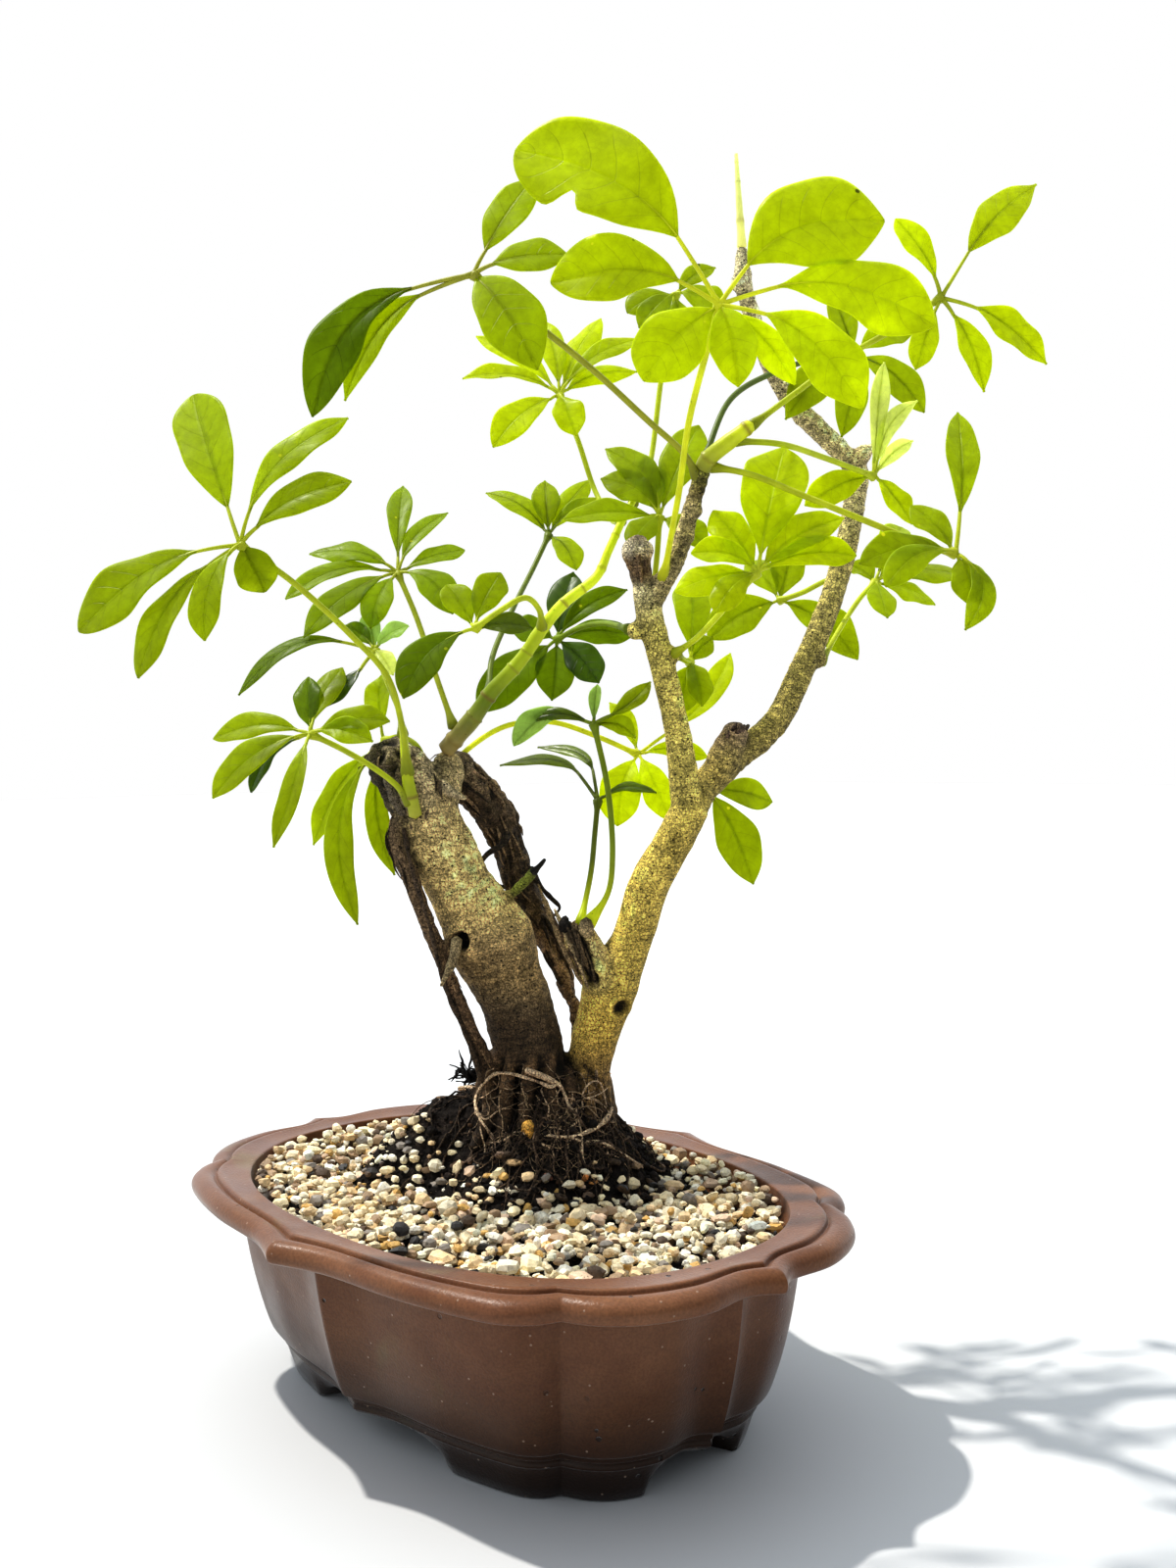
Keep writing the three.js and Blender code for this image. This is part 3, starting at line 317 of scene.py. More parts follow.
class Outlet:
    """What comes out of a node. Arithmetic with it adds Math nodes."""

    def __init__(self, tree, socket):
        self.tree, self.socket = tree, socket

    def sibling(self, name):
        return Outlet(self.tree, self.socket.node.outputs[name])

    def __add__(self, other):
        return self.tree.math("ADD", self, other)

    def __sub__(self, other):
        return self.tree.math("SUBTRACT", self, other)

    def __mul__(self, other):
        return self.tree.math("MULTIPLY", self, other)

    def __pow__(self, other):
        return self.tree.math("POWER", self, other)

    def __abs__(self):
        return self.tree.math("ABSOLUTE", self)


class Nodes:
    """A node tree while it is put together. Most methods add a node and return its outlet."""

    def __init__(self, tree):
        self.tree = tree
        tree.nodes.clear()

    def add(self, kind, *values, out=0, named=(), **settings):
        """A node with its settings. Values go to its inlets, by number or by name: a number, or an outlet
        that is linked."""
        node = self.tree.nodes.new("ShaderNode" + kind)
        for key, value in settings.items():
            setattr(node, key, value)
        for key, value in [*enumerate(values), *dict(named).items()]:
            if isinstance(value, Outlet):
                self.tree.links.new(value.socket, node.inputs[key])
            else:
                node.inputs[key].default_value = value
        return Outlet(self, node.outputs[out]) if node.outputs else None

    def math(self, operation, *values):
        return self.add("Math", *values, operation=operation)


class Finish(Nodes):
    """A procedural material while it is put together."""

    def __init__(self, name):
        self.material = bpy.data.materials.new(name)
        self.material.use_nodes = True
        super().__init__(self.material.node_tree)
        self.place = self.add("TexCoord", out="Object")

    def mix(self, share, a, b):
        return self.add("Mix", named={0: share, 6: a, 7: b}, out=2, data_type="RGBA")

    def remap(self, value, low, high, start=0.0, end=1.0):
        """Value from low to high as start to end, held outside and eased between."""
        return self.add("MapRange", value, low, high, start, end, interpolation_type="SMOOTHSTEP")

    def scaled(self, *by):
        return self.add("VectorMath", self.place, by, operation="MULTIPLY")

    def grain(self, scale, detail=3.0, rough=0.55, place=None, twist=0.0, across=None):
        """Cloudy noise, 0 to 1; across gives its low and high, remapped to a start and an end."""
        named = {"Vector": place or self.place, "Scale": scale, "Detail": detail, "Roughness": rough,
                 "Distortion": twist}
        grain = self.add("TexNoise", named=named, out="Fac")
        return self.remap(grain, *across) if across else grain

    def cells(self, scale, place=None, feature="F1"):
        """Distance to the nearest cell's middle or, with that feature, to the edge between cells."""
        named = {"Vector": place or self.place, "Scale": scale}
        return self.add("TexVoronoi", named=named, out="Distance", feature=feature)

    def red(self, colour):
        return self.add("SeparateColor", colour)

    def dots(self, scale, size, share, place=None):
        """1 in round dots in the given share of the cells, 0 outside."""
        cells = self.cells(scale, place)
        chosen = self.math("LESS_THAN", self.red(cells.sibling("Color")), share)
        return self.remap(cells, size, size * 0.6) * chosen

    def tint(self):
        return self.add("Attribute", out="Color", attribute_name="tint")

    def brighter(self, colour, value):
        """Colour times a number."""
        return self.add("VectorMath", named={0: colour, "Scale": value}, operation="SCALE")

    def bump(self, height, depth):
        return self.add("Bump", named={"Height": height, "Distance": depth, "Strength": 1.0})

    def skin(self, colour, rough, bump=None, specular=0.5, **sheen):
        """Principled shader."""
        named = {"Base Color": colour, "Roughness": rough, "Specular IOR Level": specular,
                 **{f"Sheen {key}": value for key, value in sheen.items()}}
        return self.add("BsdfPrincipled", named={**named, "Normal": bump} if bump else named)

    def done(self, surface, through=None):
        """The finished material; light of the colour through comes through it as well."""
        if through:
            surface = self.add("AddShader", surface, self.add("BsdfTranslucent", through))
        self.add("OutputMaterial", surface)
        return self.material


def blade_finish(name, gloss):
    """Leaf blade: light through and off the leaf's green tint, which is partly painted light and shade,
    with midrib, side veins that run out forwards from it, a fine net, a pale rim and a few dark specks."""
    f = Finish(name)
    along = f.add("SeparateXYZ", f.add("TexCoord", out="UV"))
    out = abs(along.sibling("Y") - 0.5) * 2.0
    wave = f.grain(90, 1) * 0.05
    vein = (along - out ** 1.3 * 0.2 + wave) * 6.5
    side_vein = f.remap(f.math("PINGPONG", vein, 0.5), 0.036, 0.0) * f.remap(out, 0.97, 0.55)
    midrib = f.remap(out, 0.07, 0.0)
    net = f.remap(f.cells(620, feature="DISTANCE_TO_EDGE"), 0.09, 0.0)
    green = f.red(f.tint()).sibling("Green")
    shade = (f.grain(430, across=(0.3, 0.7, 0.94, 1.06)) * f.grain(70, 2, across=(0.3, 0.7, 0.95, 1.05))
             - side_vein * f.remap(green, 0.3, 0.6, 0.42, 0.17) - net * 0.05 + midrib * 0.1)
    shade = shade * f.remap(f.dots(190, 0.14, 0.035), 0, 1, 1, 0.3) + f.remap(out, 0.93, 1.0, 0, 0.22)
    through = f.brighter(f.tint(), shade)
    through = f.mix(f.dots(230, 0.15, 0.05) * 0.8, through, (0.9, 0.85, 0.2, 1))
    off = f.brighter(f.add("VectorMath", through, f.tint(), operation="MULTIPLY"), 0.36)
    bump = f.bump(side_vein * -0.6 + midrib * -1.0, 0.00015)
    rough = f.grain(300, 2, across=(0.3, 0.7, 0.34, 0.46))
    return f.done(f.skin(off, rough, bump, gloss), through)


def stalk_finish():
    """Young stalks: the tint with fine lengthwise mottling and small darker dots."""
    f = Finish("green_stalk")
    shade = f.grain(160, across=(0.3, 0.7, 0.88, 1.1)) * f.remap(f.dots(650, 0.22, 0.08), 0, 1, 1, 0.7)
    colour = f.brighter(f.tint(), shade)
    return f.done(f.skin(colour, 0.42, f.bump(f.grain(900, 2), 0.00006), 0.22), f.brighter(colour, 0.35))


def bark_finish():
    """Bark: the tint broken up by lengthwise streaks, peppery grain, wrinkles across, dark lenticels,
    fine cracks and pale flecks."""
    f = Finish("bark")
    streak = f.grain(1.0, 4, 0.6, f.scaled(330, 330, 190), 0.6, (0.32, 0.7, 0.78, 1.24))
    net = f.remap(f.cells(1.0, f.scaled(820, 820, 560), "DISTANCE_TO_EDGE"), 0.14, 0.0)
    fine = f.grain(1900, 3, 0.7, across=(0.34, 0.66, 0.48, 1.7)) * f.remap(net, 0, 1, 1.1, 0.55)
    lenticel = f.dots(1.0, 0.27, 0.3, f.scaled(680, 680, 860))
    speck = f.dots(1.0, 0.22, 0.2, f.scaled(1100, 1100, 1300))
    wrinkle = f.remap(abs(f.grain(1.0, 3, 0.6, f.scaled(170, 170, 950), 0.5) - 0.5), 0.03, 0.0)
    crack = f.remap(abs(f.grain(260, 3, 0.6, twist=0.8) - 0.5), 0.016, 0.0)
    pale = f.grain(95, 4, 0.65, across=(0.58, 0.72))
    shade = streak * fine
    for mark, outside, inside in ((lenticel, 1, 0.12), (speck, 1, 0.45), (crack, 1, 0.68),
                                  (wrinkle, 1.05, 0.66), (pale, 1, 1.2)):
        shade = shade * f.remap(mark, 0, 1, outside, inside)
    height = streak * 0.5 + fine * 0.3 - (crack * 0.6 + lenticel) - wrinkle * 0.5
    return f.done(f.skin(f.brighter(f.tint(), shade), 0.78, f.bump(height, 0.0005), 0.25))


def clay_finish():
    """Unglazed clay: red-brown and grey-brown clouds, faint green bloom, fine sand, pale specks, dark pits
    and faint turning lines, with painted shade that darkens the body steadily down to the foot and painted
    light on the lip."""
    f = Finish("clay")
    cloud = f.grain(32, 4, 0.6, twist=0.5, across=(0.3, 0.7))
    colour = f.mix(cloud, (0.08, 0.0285, 0.0105, 1), (0.112, 0.047, 0.0185, 1))
    colour = f.mix(f.grain(11, 5, 0.65, across=(0.45, 0.7)) * 0.25, colour, (0.19, 0.095, 0.055, 1))
    bloom = f.grain(45, 3, 0.6, f.scaled(1, 1, 0.6), across=(0.6, 0.74, 0.0, 0.35))
    colour = f.mix(bloom, colour, (0.12, 0.1, 0.035, 1))
    sand = f.grain(1500, 2, across=(0.25, 0.75, 0.84, 1.16))
    smear = f.grain(1.0, 4, 0.6, f.scaled(60, 60, 260), 0.3, (0.3, 0.75, 0.93, 1.06))
    speck = f.dots(480, 0.17, 0.16)
    pit = f.dots(300, 0.24, 0.09) * f.grain(24, 2, across=(0.5, 0.62))
    rise = f.add("SeparateXYZ", f.place).sibling("Z")
    # Painted shade and light by height: the clay darkens down to the foot and brightens on the lip
    foot = f.remap(rise, 0.001, 0.046, 0.14, 1.45) * f.remap(rise, 0.05, 0.056, 1, 1.18)
    colour = f.brighter(colour, foot * (sand * smear))
    colour = f.mix(speck * 0.6, colour, (0.42, 0.3, 0.22, 1))
    colour = f.mix(pit, colour, (0.02, 0.012, 0.01, 1))
    height = sand * 0.35 + smear * 0.6 - pit * 2.0 + speck * 0.25
    rough = f.grain(60, across=(0.3, 0.7, 0.28, 0.42))
    return f.done(f.skin(colour, rough, f.bump(height, 0.0003), 0.24, Weight=0.22, Roughness=0.35))


def stone_finish():
    """Pebbles: each one's tint with bands, freckles and small pores."""
    f = Finish("pebble")
    band = f.grain(330, 4, 0.6, twist=1.2, across=(0.3, 0.7, 0.78, 1.14))
    freckle = f.dots(1500, 0.3, 0.16)
    shade = band * f.remap(freckle, 0, 1, 1, 0.6) * f.grain(2600, 2, across=(0.3, 0.7, 0.9, 1.08))
    return f.done(f.skin(f.brighter(f.tint(), shade), 0.62, f.bump(f.grain(1100) - freckle, 0.0002)))


def soil_finish():
    """Black crumbly soil: dark brown, with lighter crumbs and a rough surface."""
    f = Finish("soil")
    crumb = f.cells(520)
    light = f.remap(f.red(crumb.sibling("Color")), 0.7, 1.0)
    shade = f.grain(800, 4, 0.65, across=(0.3, 0.75, 0.5, 1.7)) * f.remap(light, 0, 1, 0.8, 2.2)
    bump = f.bump(crumb * -1.2 + f.grain(1400), 0.0009)
    return f.done(f.skin(f.brighter(f.tint(), shade), 0.88, bump, 0.15))


def plain_finish(name, scale, first, second, rough, bump_scale=None):
    """Two near shades mixed by a faint grain, with a very fine relief where a scale for it is given."""
    f = Finish(name)
    colour = f.mix(f.grain(scale), first, second)
    return f.done(f.skin(colour, rough, f.bump(f.grain(bump_scale, 2), 0.0001) if bump_scale else None))


BLADE, DARK_BLADE = blade_finish("sunlit_blade", 0.05), blade_finish("dark_blade", 0.24)
STALK, BARK = stalk_finish(), bark_finish()
CLAY, STONE, SOIL = clay_finish(), stone_finish(), soil_finish()
SCREEN = plain_finish("screen_plastic", 700, (0.012, 0.014, 0.013, 1), (0.03, 0.034, 0.031, 1), 0.5, 2500)
TABLE = plain_finish("pale_table", 6, (0.575, 0.58, 0.585, 1), (0.595, 0.598, 0.602, 1), 0.75)


# The tree: rows of picture place u, v, distance in front of the trunk's plane and radius

LIMBS = {
    "leaningTrunk": [[562, 1235, -2, 15], [558, 1165, -2, 17], [551, 1120, 0, 13.4], [543, 1090, 0, 10.2],
        [537, 1059, 1, 10], [529, 1027, 2, 9.8], [515, 995, 3, 10.9], [500, 960, 4, 13],
        [485, 930, 5, 10.5], [470, 905, 6, 9.2], [459, 883, 6, 9.4], [436, 838, 7, 9.8],
        [430, 812, 8, 8.6]],
    "cutStump": [[440, 842, 8, 8], [422, 808, 9, 9], [404, 778, 10, 8.2], [403, 764, 10, 6.4]],
    "trunkShoulder": [[432, 830, 7, 8.6], [448, 806, 4, 6.6], [456, 784, 2, 4.8], [455, 772, 2, 3.6]],
    "aerialRoot": [[420, 818, 11, 3.4], [405, 852, 13, 2.8], [419, 895, 14, 2.6], [434, 938, 14, 2.2],
        [446, 968, 14, 2.2], [461, 1005, 14, 2], [479, 1048, 11, 2.2], [492, 1078, 8, 2.5],
        [506, 1110, 5, 3]],
    "oldRoot": [[440, 800, 0, 5], [456, 786, -4, 5.2], [484, 806, -8, 5.8], [509, 840, -12, 5.2],
        [522, 873, -14, 4.3], [530, 900, -14.5, 4.2], [541, 925, -15, 3.8], [554, 946, -15, 3.4],
        [566, 976, -14, 2.8], [581, 1010, -11, 2.2], [590, 1045, -8, 2.2], [594, 1085, -4, 3]],
    "uprightTrunk": [[598, 1150, -6, 9.5], [600, 1110, -3, 7.5], [600, 1091, -2, 6.4],
        [607, 1059, -1, 6.9], [617, 1027, 0, 7.4], [626, 1000, 1, 8], [643, 963, 3, 6],
        [664, 899, 5, 5.8], [682, 868, 6, 5.4], [698, 838, 8, 5.6], [708, 822, 8, 5]],
    "brokenStub": [[622, 1004, 2, 6.4], [606, 985, 5, 6.2], [594, 962, 7, 5], [588, 944, 8, 3.8]],
    "middleBranch": [[703, 834, 8, 4.8], [690, 740, 12, 3.6], [676, 680, 16, 3.6], [664, 632, 18, 3.8],
        [659, 610, 19, 3.6], [656, 595, 19, 2.9], [653, 578, 19, 3.5], [651, 564, 19, 4.1],
        [651, 555, 19, 3.3], [651, 549, 19, 2]],
    "middleShoot": [[664, 618, 18, 3.2], [676, 596, 21, 2.8], [690, 570, 26, 2.7], [708, 510, 34, 2.2],
        [717, 480, 37, 2.2]],
    "rightBranch": [[703, 830, 6, 5], [716, 806, 3, 4.6], [745, 776, 0, 4.6], [788, 741, -6, 4],
        [820, 680, -12, 3.8], [845, 620, -16, 3.6], [863, 560, -20, 3.4], [872, 510, -22, 3.4],
        [874, 482, -22, 3.6], [859, 462, -20, 3.2], [832, 436, -16, 3.2], [806, 406, -12, 3.1],
        [783, 366, -7, 2.7], [766, 318, -2, 2.4], [758, 286, 2, 2.7], [757, 254, 2, 1.6]],
    "cutStub": [[732, 792, 2, 5], [740, 772, 2.5, 4.8], [747, 756, 3, 4.2], [753, 743, 4, 3.6]],
    "cutTwig": [[512, 922, 4, 1.6], [530, 905, 8, 1.7], [547, 888, 11, 1.5]],
    "leftSurfaceRoot": [[532, 1094, 4, 4.4], [512, 1120, 8, 3.2], [497, 1146, 12, 2.4],
        [482, 1172, 16, 1.6]],
    "frontSurfaceRoot": [[556, 1090, 4, 4.6], [558, 1122, 10, 3.4], [556, 1154, 14, 2.8],
        [552, 1186, 17, 2]],
    "rightSurfaceRoot": [[606, 1086, 0, 4], [613, 1116, 2, 3.2], [620, 1148, 5, 2.4],
        [630, 1180, 8, 1.6]],
    "backSurfaceRoot": [[560, 1084, -8, 4.6], [552, 1108, -18, 3.8], [546, 1126, -26, 2.8],
        [540, 1140, -32, 2]],
    "farSurfaceRoot": [[602, 1080, -8, 4], [611, 1100, -14, 3.2], [618, 1118, -20, 2.4],
        [626, 1136, -25, 1.8]],
    "ridge0": [[512, 1070, 4.5, 1.56], [503, 1095, 7, 2.6], [500, 1130, 9, 2.3], [496, 1160, 10, 2]],
    "ridge1": [[526, 1074, 7.5, 1.32], [519, 1095, 11, 2.2], [516, 1130, 13, 2], [512, 1165, 15, 1.8]],
    "ridge2": [[545, 1072, 8.5, 1.2], [541, 1092, 11.5, 2.2], [536, 1128, 14, 2.1], [537, 1165, 17, 1.8]],
    "ridge3": [[562, 1080, 7.5, 1.32], [560, 1100, 11.5, 2], [564, 1130, 14.5, 2.1],
        [560, 1168, 17, 1.8]],
    "ridge4": [[578, 1090, 4.5, 1.44], [582, 1108, 9, 2.1], [580, 1138, 13, 2], [586, 1168, 16, 1.6]],
    "ridge5": [[594, 1092, 3.5, 1.2], [599, 1110, 8, 2.1], [602, 1140, 11, 1.9], [606, 1168, 13, 1.6]],
    "ridge6": [[610, 1082, 2, 2], [611, 1112, 4, 2.1], [614, 1142, 6, 1.9], [622, 1170, 8, 1.6]],
    "ridge7": [[506, 1076, -2, 3], [494, 1108, 0, 2.6], [488, 1138, 2, 2], [484, 1160, 4, 1.4]],
    "ridge8": [[616, 1098, -4, 2], [619, 1130, -2, 2], [624, 1156, 0, 1.8], [634, 1180, 2, 1.4]],
}

GREEN_STEMS = {
    "green_stem_left": [[455, 765, 4, 2.3], [484, 731, 8, 2.3], [501, 707, 10, 2.1], [532, 673, 11, 2],
        [553, 642, 11, 2], [575, 616, 11, 1.9], [609, 588, 9, 1.9], [621, 562, 7, 1.8],
        [638, 525, 3, 1.7], [647, 510, 1, 1.5]],
    "green_tip_middle": [[718, 477, 37, 2.2], [724, 467, 39, 2.2], [745, 450, 41, 2.1],
        [766, 434, 42, 1.7]],
    "green_tip_right": [[757, 252, 2, 1.5], [754, 205, 3, 1.2], [751, 157, 4, 0.9]],
    "green_shoot_stump": [[424, 832, 18, 1.7], [417, 800, 20, 1.6], [413, 765, 21, 1.3],
        [411, 742, 21, 1]],
}

# Each leaf: its green, the share of a leaflet's reach that is its stalk, the hub, how it faces (to the
# right, up and to the eye), the long stalk from the hub on, and its leaflets, each with the picture
# place of its tip, its width and, where it isn't 0, how far the tip comes forward
LEAVES = {
    "far_left": ("mid", 0.2, [245, 556, 50], [-0.2, 0.45, 0.87], [[300, 595, 46], [360, 650, 38],
        [395, 690, 32], [410, 740, 26], [416, 790, 20]], [[197, 402, 16], [356, 428, 11], [358, 490, 13],
        [82, 646, 16], [140, 691, 13], [210, 655, 11], [270, 604, 12, -8]]),
    "left_upper": ("deep", 0.14, [406, 585, -14], [0, 0.7, 0.7], [[425, 630, -8], [445, 690, 0],
        [463, 742, 5]], [[411, 495, 8], [457, 525, 7], [474, 560, 8], [316, 567, 9], [291, 610, 8],
        [310, 652, 10], [378, 640, 9], [462, 628, 11]]),
    "left_arched": ("mid", 0.12, [484, 642, 30], [0, 0.5, 0.85], [[512, 622, 30], [536, 610, 26],
        [550, 622, 19], [553, 640, 12]], [[455, 596, 9], [511, 586, 9], [543, 640, 7], [412, 714, 11]]),
    "left_young": ("deep", 0.1, [383, 664, 4], [-0.3, 0.6, 0.74], [[395, 695, 8], [407, 725, 14],
        [411, 750, 20]], [[372, 622, 8], [418, 640, 7], [243, 708, 8, 14], [402, 690, 6], [322, 724, 9],
        [352, 640, 7]]),
    "left_lower": ("mid", 0.13, [317, 749, 22], [-0.25, 0.55, 0.8], [[350, 765, 22], [382, 784, 22],
        [405, 802, 21], [418, 820, 19]], [[217, 753, 9], [218, 816, 11], [255, 808, 8, -7], [280, 866, 9],
        [397, 735, 8], [381, 758, 8], [314, 690, 8], [350, 683, 9, -6]]),
    "left_hanging": ("mid", 0.16, [392, 756, -6], [-0.3, 0.25, 0.92], [[408, 752, -2], [426, 762, 2],
        [436, 790, 5]], [[319, 862, 10], [366, 944, 11], [402, 893, 8, -5], [390, 690, 9, -4]]),
    "top_small": ("glow", 0.12, [571, 403, -32], [0, 0.6, 0.8], [[590, 450, -28], [606, 498, -26],
        [624, 530, -14], [634, 532, 2]], [[486, 342, 8], [472, 388, 8], [503, 455, 11], [553, 328, 8],
        [613, 324, 9], [652, 348, 8], [650, 378, 8, -6], [588, 446, 10]]),
    "top_left": ("mid", 0.22, [483, 280, 56], [-0.15, 0.35, 0.92], [[528, 316, 54], [601, 374, 50],
        [662, 430, 45], [698, 463, 41], [712, 488, 36]], [[318, 424, 15], [353, 410, 12, -9],
        [546, 178, 12], [580, 262, 12], [548, 376, 16]]),
    "top_front": ("glow", 0.24, [734, 311, 82], [0, 0.2, 0.98], [[722, 355, 76], [703, 430, 62],
        [693, 501, 48], [683, 557, 34], [677, 592, 22]], [[526, 152, 21], [562, 290, 17], [657, 388, 17],
        [902, 227, 22], [954, 330, 16], [880, 418, 16], [812, 392, 11, -7], [753, 396, 13]]),
    "top_right": ("glow", 0.26, [960, 304, 28], [0.15, 0.3, 0.94], [[910, 337, 31], [860, 366, 35],
        [809, 403, 39], [766, 435, 41]], [[1058, 187, 12], [1067, 373, 12], [1005, 399, 10],
        [913, 225, 8], [935, 376, 8]]),
    "right_outer": ("mid", 0.12, [975, 565, 46], [0.2, 0.5, 0.85], [[955, 560, 47], [882, 531, 48],
        [818, 505, 46], [765, 484, 42], [724, 476, 37]], [[978, 420, 11], [984, 644, 9],
        [930, 515, 9, -5], [876, 577, 10], [996, 620, 11], [903, 600, 8, 4]]),
    "right_pale": ("glow", 0.1, [891, 486, 6], [0.25, 0.3, 0.92], [[841, 467, 20], [795, 453, 34],
        [748, 450, 41]], [[903, 369, 8], [935, 410, 8], [932, 449, 7], [930, 536, 8], [822, 515, 9]]),
    "centre_right": ("glow", 0.1, [773, 584, 44], [0, 0.45, 0.89], [[749, 610, 40], [712, 650, 28],
        [688, 667, 18]], [[728, 520, 10], [705, 566, 8], [689, 603, 9], [861, 530, 11], [874, 566, 9],
        [800, 458, 17], [730, 624, 8, 4]]),
    "behind_right": ("mid", 0.08, [795, 613, -44], [0, 0.35, 0.93], [[818, 605, -38], [846, 592, -26],
        [852, 600, -18]], [[722, 652, 14], [875, 674, 13], [808, 556, 11], [760, 575, 9, -6]]),
    "right_flat": ("mid", 0.1, [893, 594, -42], [0.2, 0.75, 0.62], [[878, 610, -36], [858, 640, -26],
        [838, 676, -14]], [[866, 575, 9], [920, 540, 10], [955, 560, 11], [988, 590, 11], [955, 616, 11],
        [905, 632, 9]]),
    "centre_dark": ("deep", 0.1, [568, 653, -24], [0, 0.45, 0.89], [[590, 641, -16], [615, 636, -2],
        [642, 642, 17]], [[563, 714, 12], [611, 698, 11], [487, 727, 14], [645, 650, 9], [585, 583, 11],
        [640, 603, 8], [520, 640, 9]]),
    "centre_upper": ("mid", 0.1, [673, 527, 9], [0, 0.5, 0.86], [[671, 560, 10], [668, 590, 12],
        [663, 622, 17]], [[618, 457, 10], [613, 490, 10], [573, 530, 9, 4], [658, 470, 8], [713, 433, 12],
        [642, 560, 8, 4], [722, 560, 9]]),
    "centre_back": ("mid", 0.08, [560, 546, -46], [0, 0.6, 0.8], [[545, 578, -38], [524, 620, -22],
        [502, 672, -2], [499, 706, 9]], [[496, 502, 8], [556, 492, 9], [601, 489, 8], [622, 513, 7],
        [588, 580, 8, 5]]),
    "low_left": ("mid", 0.08, [606, 739, 14], [-0.15, 0.5, 0.85], [[620, 804, 15], [625, 874, 14],
        [620, 912, 11], [598, 946, 8]], [[524, 760, 12], [610, 700, 10], [538, 733, 8], [664, 697, 9],
        [648, 752, 8]]),
    "low_arched": ("mid", 0.1, [610, 817, -14], [0, 0.7, 0.7], [[607, 850, -10], [603, 890, -2],
        [592, 944, 7]], [[510, 780, 9], [549, 764, 7, -6], [670, 808, 8]]),
    "low_yellow": ("glow", 0.1, [651, 770, -28], [0, 0.5, 0.86], [[608, 751, -26], [564, 737, -22],
        [519, 740, -16], [478, 764, -6], [458, 786, -3]], [[630, 842, 13], [683, 838, 9], [722, 772, 9],
        [745, 668, 9, -6], [622, 716, 8, -6]]),
    "behind_fork": ("mid", 0.08, [722, 806, -16], [0.25, 0.3, 0.92], [[716, 812, -8], [710, 822, 4]],
        [[789, 818, 9, -6], [768, 903, 13]]),
    "at_knob": ("mid", 0.08, [704, 676, 2], [0.2, 0.45, 0.87], [[699, 674, 8], [690, 668, 16]],
        [[694, 728, 9], [716, 722, 8, 4], [728, 650, 7], [706, 590, 11, -4]]),
    "behind_upper_right": ("mid", 0.08, [872, 362, -18], [0.2, 0.35, 0.91], [[835, 366, -8],
        [790, 380, 6], [745, 408, 22], [718, 470, 36]], [[944, 420, 11], [858, 447, 10, 4],
        [802, 427, 11], [932, 338, 9], [850, 300, 9]]),
    "top_behind": ("mid", 0.1, [690, 300, -26], [0, 0.45, 0.89], [[675, 385, -24], [664, 470, -20],
        [652, 508, -9], [646, 514, 0]], [[640, 318, 10], [652, 336, 9], [730, 272, 7], [742, 318, 10],
        [700, 356, 9]]),
}

# Pot


def plan_run(run, steps):
    """Curve through the points of a run, uniform Catmull-Rom with its end points doubled."""
    p = np.asarray([run[0], *run, run[-1]], float)
    x0, x1, x2, x3 = p[:-3], p[1:-2], p[2:-1], p[3:]
    return np.vstack([spans(x1, x2, (x2 - x0) / 2, (x3 - x1) / 2, steps), p[-1]])


def pot_plan(steps):
    """Closed plan of the lip: a quarter, from the short side's cusp over the corner notch to the long
    side's cusp, mirrored twice."""
    quarter = np.vstack([plan_run(SHORT_RUN, steps), plan_run(LONG_RUN, steps)[1:]])
    half = np.vstack([quarter, quarter[-2::-1] * [-1, 1]])
    return np.vstack([half, half[-2:0:-1] * [1, -1]])


def oval_measure(x, y):
    """1 on the pot's oval opening, 0 in its middle."""
    return (np.abs(x / OPENING_L) ** OPENING_POWER + np.abs(y / OPENING_W) ** OPENING_POWER) ** (
        1 / OPENING_POWER)


def pot_rings(plan, section):
    """Rings of the pot for rows of inset, height and share of the oval: the plan blended towards the
    oval opening by the share, then drawn in by the inset over the blended half size."""
    inset, height, share = (column[:, None] for column in np.asarray(section, float).T)
    oval = plan / oval_measure(plan[:, 0], plan[:, 1])[:, None]
    x = plan[:, 0] + (oval[:, 0] - plan[:, 0]) * share
    y = plan[:, 1] + (oval[:, 1] - plan[:, 1]) * share
    half_l = HALF_L + (OPENING_L - HALF_L) * share
    half_w = HALF_W + (OPENING_W - HALF_W) * share
    return np.stack([x * (1 - inset / half_l), y * (1 - inset / half_w), height + 0 * x], -1)


def rounded(rows, times):
    """An open line with its corners cut at a quarter and three quarters of each side."""
    rows = np.asarray(rows, float)
    for _ in range(times):
        a, b = rows[:-1], rows[1:]
        cut = np.stack([a * 0.75 + b * 0.25, a * 0.25 + b * 0.75], 1).reshape(-1, rows.shape[1])
        rows = np.vstack([rows[:1], cut, rows[-1:]])
    return rows


